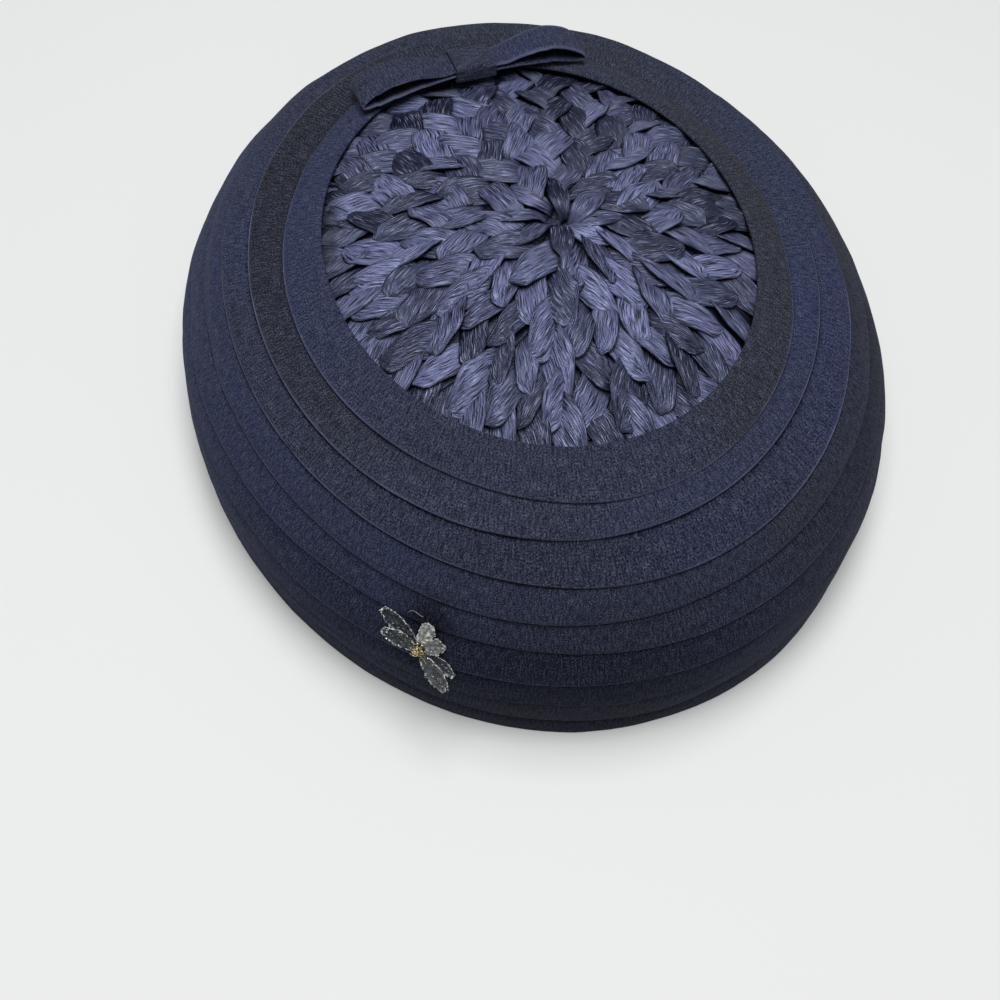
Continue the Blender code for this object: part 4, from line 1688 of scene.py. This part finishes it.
@dataclass
class Bow:
    """The flat bow: two open loops of the same crepe and the strap round their inner ends.

    Attributes:
        form: The hat's form.
        length: Size over both loops.
        width: Width of the folded band.
        wall: Thickness of the folded band.
        loop_height: Height of a loop at its fullest.
        knot_length: Width of the strap, along the bow.
        knot_width: Size of the strap's ring across the bow.
        overhang: How far the bow's middle line lies in over the crown.
        tilt: How far it tips back, in degrees.
        loop_steps: Sections along each side of a loop.
        across_steps: Vertices across the band.
        peak: Where a loop is fullest, as a share of its length.
        clearance: Gap to what lies next to it.
        inside_shade: How dark the inside of a loop is.
    """

    form: HatForm
    length: float = 0.0615
    width: float = 0.0130
    wall: float = 0.0009
    loop_height: float = 0.0036
    knot_length: float = 0.0104
    knot_width: float = 0.0108
    overhang: float = 0.0022
    tilt: float = 12.0
    loop_steps: int = 26
    across_steps: int = 9
    peak: float = 2 / 3
    clearance: float = 0.0003
    inside_shade: float = 0.8

    def __post_init__(self) -> None:
        """Work out the bow's place and directions."""
        turn = math.radians(self.tilt)
        self.right = Vector((1.0, 0.0, 0.0))
        self.back = Vector((0.0, math.cos(turn), -math.sin(turn)))
        self.up = Vector((0.0, math.sin(turn), math.cos(turn)))
        self.edge = self.form.to_space(self.form.edge_point(0, 90.0), 90.0)
        self.knot_bed = self.bed(0.0, -self.overhang, self.knot_width)
        self.loop_floor = self.knot_bed + 1.5 * self.wall + self.clearance

    def place(self, along: float, across: float, height: float) -> Vector:
        """Return the point at a distance along the bow, across it and above its plane."""
        return self.edge + self.right * along + self.back * across + self.up * height

    def bed(self, along: float, middle: float, width: float) -> float:
        """Find the height over the bow's plane at which a band clears the hat.

        Args:
            along: The place along the bow.
            middle: The band's middle across it.
            width: The band's width.

        Returns:
            The height.
        """
        heights = []
        for share in (-0.5, -0.25, 0.0, 0.25, 0.5):
            foot = self.place(along, middle + width * share, 0.0)
            heights.append((self.form.roof_height(foot.x, foot.y) - foot.z) * self.up.z)
        return max(heights) + self.clearance

    def loop_path(self, side: int, turn: float) -> list[tuple[float, float, float, float]]:
        """Return a loop's middle line, out on top and back below.

        Args:
            side: -1 for the left loop, 1 for the right one.
            turn: How far the loop turns away from the bow's line, in degrees.

        Returns:
            (along, across, height, width) of each section.
        """
        outer = self.length / 2 - self.wall / 2
        knot_side = self.knot_length / 2 + self.clearance
        knot_end = self.knot_width - 2 * (self.wall + self.clearance)
        flat = (self.wall + self.clearance) / 2
        inner = side * (self.wall / 2 + self.clearance)
        top = [(inner, -self.overhang, self.loop_floor + 2 * flat, knot_end)]
        below = [(inner, -self.overhang, self.loop_floor, knot_end)]
        fullest = self.peak * math.sqrt(1 - self.peak)
        for i in range(self.loop_steps + 1):
            share = math.sin(math.pi / 2 * i / self.loop_steps)
            past_knot = (outer - knot_side) * share
            reach = side * (knot_side + past_knot)
            width = knot_end + (self.width - knot_end) * share
            across = -self.overhang + past_knot * math.tan(math.radians(turn))
            bed = min(self.bed(reach, across, width), self.knot_bed) + self.wall / 2
            floor = self.loop_floor + (bed - self.loop_floor) * share
            half = self.loop_height / 2 * share * math.sqrt(1 - share) / fullest
            middle = self.loop_height / 2
            if share < self.peak:
                half = max(half, flat)
                middle = half
            top.append((reach, across, floor + middle + half, width))
            below.append((reach, across, floor + middle - half, width))
        return top + below[-2::-1]

    def band_sections(
        self, path: Sequence[tuple[float, float, float, float]], seed: float
    ) -> list[list[Vector]]:
        """Lay a band along a path, with soft folded edges.

        Args:
            path: (along, across, height, width) of each section.
            seed: Start of its ripples.

        Returns:
            Its cross sections.
        """
        sections = []
        count = len(path)
        steps = [i / (self.across_steps - 1) - 0.5 for i in range(self.across_steps)]
        for i, (along, across, height, width) in enumerate(path):
            here = Vector((along, height))
            before = Vector((path[i - 1][0], path[i - 1][2]))
            after = Vector((path[(i + 1) % count][0], path[(i + 1) % count][2]))
            into, out_of = (here - before).normalized(), (after - here).normalized()
            mean = (into + out_of).normalized()
            normal = Vector((-mean.y, mean.x)) * (self.wall / 2 / max(mean.dot(into), 0.5))
            wide = width * (1 + 0.03 * noise.noise(Vector((along * 90.0, seed, 0.0))))
            section = []
            for sign, sides in ((1, steps), (-1, steps[::-1])):
                for step in sides:
                    thin = 0.55 + 0.45 * min(1.0, (0.5 - abs(step)) * 9.0)
                    ripple = noise.noise(Vector((along * 130.0, step * 2.0, seed))) * 0.00022
                    moved = here + normal * (sign * thin) + Vector((0.0, ripple))
                    section.append(self.place(moved.x, across + wide * step, moved.y))
                section.append(self.place(here.x, across + wide * sides[-1] * 1.012, here.y))
            sections.append(section)
        return sections

    def knot_sections(self) -> list[list[Vector]]:
        """Lay the strap round the inner ends of the loops.

        Returns:
            Its cross sections.
        """
        half_height = (3 * self.wall + 3 * self.clearance) / 2
        middle = self.knot_bed + self.wall / 2 + half_height
        half_width = (self.knot_width - self.wall) / 2
        radius = self.wall * 0.75
        outline = []
        for quarter, (side, level) in enumerate(((1, 1), (-1, 1), (-1, -1), (1, -1))):
            corner = Vector((side * (half_width - radius), level * (half_height - radius)))
            for step in range(5):
                angle = math.pi / 2 * (quarter + step / 4)
                normal = Vector((math.cos(angle), math.sin(angle)))
                outline.append((corner + normal * radius, normal))
            next_side = ((-1, 1), (-1, -1), (1, -1), (1, 1))[quarter]
            onward = Vector((next_side[0] * (half_width - radius), next_side[1] * (half_height - radius)))
            straight = Vector((math.cos(math.pi / 2 * (quarter + 1)), math.sin(math.pi / 2 * (quarter + 1))))
            for share in (0.25, 0.5, 0.75):
                outline.append((corner.lerp(onward, share) + straight * radius, straight))
        steps = [i / (self.across_steps - 1) - 0.5 for i in range(self.across_steps)]
        sections = []
        for point, normal in outline:
            section = []
            for sign, sides in ((-1, steps), (1, steps[::-1])):
                for step in sides:
                    thin = 0.6 + 0.4 * min(1.0, (0.5 - abs(step)) * 9.0)
                    crease = noise.noise(Vector((step * 5.0, point.x * 220.0, 4.0))) * 0.00012
                    moved = point + normal * (sign * self.wall / 2 * thin + crease)
                    across = moved.x - self.overhang
                    section.append(self.place(step * self.knot_length, across, middle + moved.y))
            sections.append(section)
        return sections

    def shade(self, piece: Piece, tint: float, edge_light: float) -> None:
        """Give a bow piece its tint and the painted highlight on its edges.

        Args:
            piece: The piece.
            tint: Its tint.
            edge_light: How strong the painted highlight on its edges is.
        """
        count = len(piece.data.vertices)
        float_attribute(piece.data, "tint", [tint] * count)
        per_section = 2 * (self.across_steps + 1)
        worn_rows = (0, self.across_steps - 1, self.across_steps, per_section - 1)
        frost_and_highlight = [edge_light if i % per_section in worn_rows else 0.0 for i in range(count)]
        float_attribute(piece.data, "frost_and_highlight", frost_and_highlight)

    def darken_inside(self, loop: Piece, side: int) -> None:
        """Paint shade on the side of a loop's band that faces into the loop, but not on its edges.

        Args:
            loop: The loop.
            side: -1 for the left loop, 1 for the right one.
        """
        shades = []
        for i in range(len(loop.data.vertices)):
            row = i % (2 * (self.across_steps + 1))
            if side > 0:
                row -= self.across_steps + 1
            shades.append(self.inside_shade if 0 < row < self.across_steps - 1 else 0.0)
        # Painted shade inside the loop.
        float_attribute(loop.data, "shade_and_darkening", shades)

    def build(self, material: Material, under: Piece) -> None:
        """Build the loops and the knot.

        Args:
            material: Their material.
            under: The fold that they rest on. It is not used.
        """
        for name, side, turn, seed, tint in (("left", -1, -1.5, 2.0, 0.60), ("right", 1, 10.0, 7.0, 0.85)):
            path = self.loop_path(side, turn)
            loop = looped_band(f"bow_band_{name}", self.band_sections(path, seed))
            self.shade(loop, tint, 0.5)
            self.darken_inside(loop, side)
            dress(loop, material, [f"bow_loop_{name}"])
        knot = looped_band("bow_strap", self.knot_sections())
        self.shade(knot, 0.40, 0.12)
        dress(knot, material, ["bow_knot"])


class Petal(NamedTuple):
    """A petal of the sprig.

    Attributes:
        bearing: Where it points on the fold, in degrees from the sideways direction.
        length: Its length.
        width: Its width.
        lift: How far its tip stands up.
        layer: 0 next to the fold and 1 over its neighbours.
        pale: How pale its film is.
        ruffle: How ruffled it is.
    """

    bearing: float
    length: float
    width: float
    lift: float
    layer: int
    pale: float
    ruffle: float


@dataclass
class Sprig:
    """The small ornament: sheer petals, glitter, gilt beads and curls, and a loose thread.

    Attributes:
        form: The hat's form.
        bearing: Where it sits round the hat.
        fold: Its height, as a fractional fold number.
        bead: Size of the solid bead in its middle.
        wall: Thickness of a solid petal.
        petal_height: Height of the lower petals over the fold.
        clearance: Gap between layers.
        film: Thickness of a sheer petal.
        line: Radius of the outlines and the thread.
        curl: Radius of the gilt curls.
        petals: The petals.
        seed: Start of the random draws.
    """

    form: HatForm
    bearing: float = 234.0
    fold: float = 5.6
    bead: float = 0.0046
    wall: float = 0.0008
    petal_height: float = 0.0013
    clearance: float = 0.0003
    film: float = 0.00012
    line: float = 0.00006
    curl: float = 0.00013
    petals: tuple[Petal, ...] = (
        Petal(139, 0.0102, 0.0038, 0.0010, 0, 0.05, 0.3),
        Petal(155, 0.0070, 0.0038, 0.0012, 1, 0.08, 0.4),
        Petal(80, 0.0050, 0.0037, 0.0014, 0, 0.74, 1.0),
        Petal(38, 0.0042, 0.0040, 0.0014, 1, 0.40, 1.0),
        Petal(-24, 0.0070, 0.0030, 0.0009, 0, 0.10, 0.4),
        Petal(-44, 0.0082, 0.0040, 0.0010, 1, 0.16, 0.2),
    )
    seed: int = 5

    def __post_init__(self) -> None:
        """Work out the seat on the fold and the three directions there."""
        number = math.ceil(self.fold)
        line = self.form.fold_lines(self.bearing, self.form.wall + self.form.clearance)[number - 1]
        share = self.fold - math.floor(self.fold)
        swell = self.form.swell * (1 - abs(2 * share - 1))
        seat = line.start.lerp(line.edge, share) + line.outward * (swell + self.clearance)
        radial = self.form.rim_vector(self.bearing).normalized()
        self.seat = self.form.to_space(seat, self.bearing)
        self.outward = radial * line.outward.x + Vector((0.0, 0.0, line.outward.y))
        self.upward = -(radial * line.along.x + Vector((0.0, 0.0, line.along.y)))
        self.sideways = Vector((0.0, 0.0, 1.0)).cross(radial).normalized()

    def forward(self, angle: float) -> Vector:
        """Return the direction over the fold at an angle in radians."""
        return self.sideways * math.cos(angle) + self.upward * math.sin(angle)

    def spot(self, bearing: float, reach: float, height: float) -> Vector:
        """Return the point at a bearing and reach from the seat and a height over the fold."""
        return self.seat + self.forward(math.radians(bearing)) * reach + self.outward * height

    def petal_point(self, petal: Petal, along: float, across: float) -> Vector:
        """Find a petal's point.

        Args:
            petal: The petal.
            along: 0 at the beads and 1 at the tip.
            across: -1 at one side and 1 at the other.

        Returns:
            The point.
        """
        forward = self.forward(math.radians(petal.bearing))
        aside = self.outward.cross(forward)
        reach = self.bead * 0.30 + (petal.length + self.bead * 0.26) * along
        shape = math.sin(math.pi * min(along * 0.84 + 0.08, 1.0)) ** (0.5 if petal.ruffle > 0.7 else 0.8)
        half = petal.width / 2 * (0.14 + 0.86 * shape)
        seed = petal.bearing * 0.31
        ruffled = 0.00025 + 0.0010 * petal.ruffle * along
        frill = noise.noise(Vector((along * 4.5, across * 2.5, seed))) * ruffled
        height = self.petal_height + petal.layer * (self.wall + self.clearance) + petal.lift * along**2
        height += 0.0005 * across**2 + frill
        edge = 1 + (0.10 + 0.16 * petal.ruffle) * noise.noise(Vector((along * 11.0, across, seed)))
        return self.seat + forward * reach + aside * (half * across * edge) + self.outward * height

    def build_petal(self, number: int, petal: Petal, material: Material) -> Piece:
        """Build one thin petal from a grid primitive, with frosted edges.

        Args:
            number: The petal's number.
            petal: The petal.
            material: Its material.

        Returns:
            The piece.
        """
        start_clean()
        bpy.ops.mesh.primitive_grid_add(x_subdivisions=16, y_subdivisions=24, size=2.0)
        piece = bpy.context.object
        piece.name = f"gauze_petal_{number}"
        mesh = piece.data
        for layer in list(mesh.uv_layers):
            mesh.uv_layers.remove(layer)
        uv = mesh.uv_layers.new(name=CLOTH_UV)
        places = [(vertex.co.x, vertex.co.y / 2 + 0.5) for vertex in mesh.vertices]
        for loop in mesh.loops:
            across, along = places[loop.vertex_index]
            uv.data[loop.index].uv = (across * petal.width / 2, along * petal.length)
        for vertex, (across, along) in zip(mesh.vertices, places):
            vertex.co = self.petal_point(petal, along, across)
        frosted = []
        for across, along in places:
            frosted.append(max(smooth_step(0.80, 1.0, abs(across)), smooth_step(0.90, 1.0, along)))
        float_attribute(mesh, "frost_and_highlight", frosted)
        float_attribute(mesh, "tint", [petal.pale] * len(places))
        mesh.shade_smooth()
        solidify = piece.modifiers.new("film", "SOLIDIFY")
        solidify.thickness = self.film
        bpy.ops.object.modifier_apply(modifier=solidify.name)
        return dress(piece, material, [f"sprig_petal_{number}"])

    def copies(self, name: str, pattern: Piece, spots: Sequence[tuple[Matrix, float]]) -> Piece:
        """Copy a small pattern to many spots in one piece.

        Args:
            name: The piece's name.
            pattern: The small object, modelled once. It is removed.
            spots: The placing matrix and the tint of each copy.

        Returns:
            The piece.
        """
        mesh_data = bmesh.new()
        tints = []
        for matrix, tint in spots:
            copy = pattern.data.copy()
            copy.transform(matrix)
            mesh_data.from_mesh(copy)
            tints += [tint] * len(copy.vertices)
            bpy.data.meshes.remove(copy)
        piece = bpy.data.objects.new(name, bpy.data.meshes.new(name))
        bpy.context.scene.collection.objects.link(piece)
        mesh_data.to_mesh(piece.data)
        mesh_data.free()
        float_attribute(piece.data, "tint", tints)
        bpy.data.objects.remove(pattern, do_unlink=True)
        return piece

    def build_cords(
        self,
        name: str,
        lines: Sequence[Sequence[Vector]],
        radius: float,
        material: Material,
    ) -> None:
        """Build thin round cords along lines, as one piece.

        Args:
            name: The piece's name.
            lines: The points of each cord.
            radius: The cords' radius.
            material: Their material.
        """
        start_clean()
        for line in lines:
            curve = bpy.data.curves.new(name, "CURVE")
            curve.dimensions = "3D"
            curve.bevel_depth = radius
            curve.bevel_resolution = 1
            curve.use_fill_caps = True
            spline = curve.splines.new("POLY")
            spline.points.add(len(line) - 1)
            for point, place in zip(spline.points, line):
                point.co = (*place, 1.0)
            cord = bpy.data.objects.new(name, curve)
            bpy.context.scene.collection.objects.link(cord)
            cord.select_set(True)
            bpy.context.view_layer.objects.active = cord
        bpy.ops.object.convert(target="MESH")
        if len(lines) > 1:
            bpy.ops.object.join()
        cords = bpy.context.object
        cords.name = name
        cords.data.shade_smooth()
        float_attribute(cords.data, "tint", [0.4] * len(cords.data.vertices))
        dress(cords, material)

    def outline(self, petal: Petal) -> list[list[Vector]]:
        """Draw the worn, broken line round a petal's edge, open at its root.

        Args:
            petal: The petal.

        Returns:
            Short runs of points.
        """
        chance = random.Random(petal.bearing)
        places = [(along / 26, -1.0) for along in range(1, 27)] + [(1.0, side / 4) for side in range(-3, 4)]
        places += [(along / 26, 1.0) for along in range(26, 0, -1)]
        runs = []
        start = 0
        while start < len(places) - 2:
            stop = min(start + chance.randint(3, 7), len(places))
            inset = chance.uniform(0.90, 1.02)
            stretch = places[start:stop]
            runs.append([self.petal_point(petal, along, across * inset) for along, across in stretch])
            start = stop + chance.randint(0, 2)
        return runs

    def build_glitter(self, material: Material) -> None:
        """Scatter small flakes along the petals' edges and over their tips.

        Args:
            material: Their material.
        """
        chance = random.Random(self.seed)
        start_clean()
        bpy.ops.mesh.primitive_ico_sphere_add(subdivisions=1, radius=1.0)
        flake = bpy.context.object
        flake.data.transform(Matrix.Diagonal((1.0, 0.8, 0.35, 1.0)))
        spots = []
        for petal in self.petals:
            count = int(8000 * (petal.length + petal.width))
            for i in range(count):
                if i % 3:
                    along = 1 - 0.92 * chance.random() ** 1.2
                    across = chance.choice((-1.0, 1.0)) * chance.uniform(0.82, 1.04)
                else:
                    along = 1 - chance.random() ** 1.6 * 0.8
                    across = chance.uniform(-0.9, 0.9)
                point = self.petal_point(petal, along, across) + self.outward * chance.uniform(0.0, 0.00025)
                size = chance.uniform(0.00009, 0.00018) * (1.8 if chance.random() < 0.20 else 1.0)
                turned = Matrix.Rotation(chance.uniform(0, math.tau), 4, self.upward)
                turned = turned @ Matrix.Rotation(chance.uniform(0, math.tau), 4, self.sideways)
                spots.append((Matrix.Translation(point) @ turned @ Matrix.Scale(size, 4), chance.random()))
        dress(self.copies("sprig_glitter", flake, spots), material)

    def build_beads(self, material: Material) -> None:
        """Build the cluster of gilt seed beads that the petals start from, and the gilt curls on it.

        Args:
            material: Their material.
        """
        chance = random.Random(self.seed + 1)
        start_clean()
        bpy.ops.mesh.primitive_torus_add(
            major_segments=14, minor_segments=8, major_radius=0.00036, minor_radius=0.00021
        )
        seed_bead = bpy.context.object
        seed_bead.data.shade_smooth()
        spots = []
        for i in range(13):
            ring = 0.0 if i == 0 else 0.00075 if i < 6 else 0.00140
            angle = math.tau * i / 5 if i < 6 else math.tau * i / 7 + 0.4
            height = 0.0030 if i == 0 else 0.0026 if i < 6 else 0.0017
            point = self.seat + self.forward(angle) * ring
            point += self.outward * (height + chance.uniform(-0.0003, 0.0003))
            turned = Matrix.Rotation(chance.uniform(0, math.pi), 4, self.sideways)
            turned = turned @ Matrix.Rotation(chance.uniform(0, math.pi), 4, self.outward)
            spots.append((Matrix.Translation(point) @ turned, chance.random()))
        dress(self.copies("gilt_seed_beads", seed_bead, spots), material, ["sprig_centre"])
        curls = []
        coils = ((150, 1.4, 0.0011, 0.3), (100, 1.2, 0.0009, -0.4), (200, 1.3, 0.0010, 0.1))
        for start, turns, size, lean in coils:
            middle = self.spot(start, 0.0009, 0.0034)
            line = []
            for i in range(int(22 * turns)):
                angle = math.tau * i / 22 + math.radians(start)
                place = middle + self.forward(angle) * (size * (1 - 0.018 * i))
                line.append(place + self.outward * (0.00045 * math.sin(angle + lean * 3) - 0.00001 * i))
            curls.append(line)
        tail = []
        for i in range(6):
            tail.append(self.spot(-44 + 3 * math.sin(i), 0.0010 + 0.00045 * i, 0.0034 - 0.0001 * i))
        curls.append(tail)
        self.build_cords("gilt_curls", curls, self.curl, material)

    def build(self, gauze: Material, glitter: Material, gilt: Material, thread: Material) -> None:
        """Build every piece of the sprig.

        Args:
            gauze: The petals' material.
            glitter: The material of the flakes and the petals' outlines.
            gilt: The material of the beads and curls.
            thread: The loose thread's material.
        """
        for number, petal in enumerate(self.petals, start=1):
            self.build_petal(number, petal, gauze)
        runs = [run for petal in self.petals for run in self.outline(petal)]
        self.build_cords("petal_outlines", runs, self.line, glitter)
        self.build_glitter(glitter)
        self.build_beads(gilt)
        wisp = []
        for i in range(11):
            wisp.append(self.spot(118 - 2.4 * i, 0.0090 + 0.0005 * math.sin(i * 0.5), 0.0010 + 0.0001 * i))
        self.build_cords("loose_thread", [wisp], self.line, thread)


class Lamp(NamedTuple):
    """A soft square light that faces the hat.

    Attributes:
        name: Its name.
        place: Its place.
        size: Length of its side.
        power: Its power in watts.
        colour: Its colour.
    """

    name: str
    place: Vector
    size: float
    power: float
    colour: Colour


@dataclass(frozen=True)
class Studio:
    """The table, the soft lights and the camera.

    Attributes:
        lamps: The lights.
        room: Colour of the room's own light.
        glow: Its strength.
        eye: The camera's place.
        aim: The point it looks at.
        roll: How far the picture is turned clockwise, in degrees.
        lens: Focal length in millimetres on a 36 mm wide sensor.
    """

    lamps: tuple[Lamp, ...] = (
        Lamp("ceiling", Vector((-0.10, -0.20, 1.30)), 0.8, 14.5, (0.98, 0.99, 1.0)),
        Lamp("window", Vector((0.11, 0.30, 1.26)), 0.35, 3.2, (0.96, 0.98, 1.0)),
    )
    room: Colour = (0.96, 0.98, 1.0)
    glow: float = 0.16
    eye: Vector = Vector((-0.0802, -0.2080, 0.3169))
    aim: Vector = Vector((-0.0180, -0.0343, 0.0))
    roll: float = 3.45
    lens: float = 50.47

    def build(self) -> None:
        """Add the table, the lights and the camera, and show tones as they are."""
        start_clean()
        bpy.context.scene.view_settings.view_transform = "Standard"
        bpy.ops.mesh.primitive_plane_add(size=4.0, location=(0.0, 0.0, -0.0001))
        table = bpy.context.object
        table.name = "table_top"
        table.data.materials.append(TableFinish().material())
        for lamp in self.lamps:
            self.light(lamp)
        world = bpy.data.worlds.new("room")
        bpy.context.scene.world = world
        world.use_nodes = True
        light = {"Color": (*self.room, 1.0), "Strength": self.glow}
        Bench(world.node_tree).feed(world.node_tree.nodes["Background"], light)
        self.camera()

    def light(self, lamp: Lamp) -> None:
        """Add one light.

        Args:
            lamp: The light.
        """
        data = bpy.data.lights.new(lamp.name, "AREA")
        data.size = lamp.size
        data.energy = lamp.power
        data.color = lamp.colour
        piece = bpy.data.objects.new(lamp.name, data)
        piece.location = lamp.place
        piece.rotation_mode = "QUATERNION"
        piece.rotation_quaternion = (Vector((0.0, 0.0, 0.03)) - lamp.place).to_track_quat("-Z", "Y")
        bpy.context.scene.collection.objects.link(piece)

    def camera(self) -> None:
        """Aim the camera as the photograph was taken."""
        forward = (self.aim - self.eye).normalized()
        right = forward.cross(Vector((0.0, 0.0, 1.0))).normalized()
        up = right.cross(forward)
        turn = math.radians(self.roll)
        across = right * math.cos(turn) + up * math.sin(turn)
        upright = up * math.cos(turn) - right * math.sin(turn)
        data = bpy.data.cameras.new("camera")
        data.lens = self.lens
        data.sensor_width = 36.0
        data.clip_start = 0.01
        camera = bpy.data.objects.new("camera", data)
        rotation = Matrix((across, upright, -forward)).transposed().to_4x4()
        camera.matrix_world = Matrix.Translation(self.eye) @ rotation
        bpy.context.scene.collection.objects.link(camera)
        bpy.context.scene.camera = camera


def corners(box: tuple) -> list[list[float]]:
    """Return a box's corners as plain lists."""
    return [list(corner) for corner in box]


def main() -> None:
    """Build the studio and every piece of the hat."""
    logging.basicConfig(level=logging.INFO, format="%(name)s: %(message)s")
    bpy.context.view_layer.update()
    Studio().build()
    form = HatForm()
    crepe = CrepeFinish().material()
    straw = StrawFinish().material()
    sprig = Sprig(form)
    bands = ClothFolds(form).build(crepe, sprig.spot(82.0, 0.0070, 0.0))
    PlaitedCrown(form).build(straw)
    Bow(form).build(crepe, bands[0])
    silver = ((0.34, 0.38, 0.42), (0.95, 0.93, 0.82))
    glitter = GlintFinish("silver_glitter", silver, metallic=0.3, roughness=0.22)
    gilt = GlintFinish("gilt_beads", ((0.52, 0.40, 0.17), (0.95, 0.86, 0.54)))
    pale = ((0.30, 0.30, 0.26), (0.40, 0.40, 0.36))
    thread = GlintFinish("pale_thread", pale, metallic=0.0, roughness=0.5)
    sprig.build(PetalFinish().material(), glitter.material(), gilt.material(), thread.material())


if __name__ == "__main__":
    main()
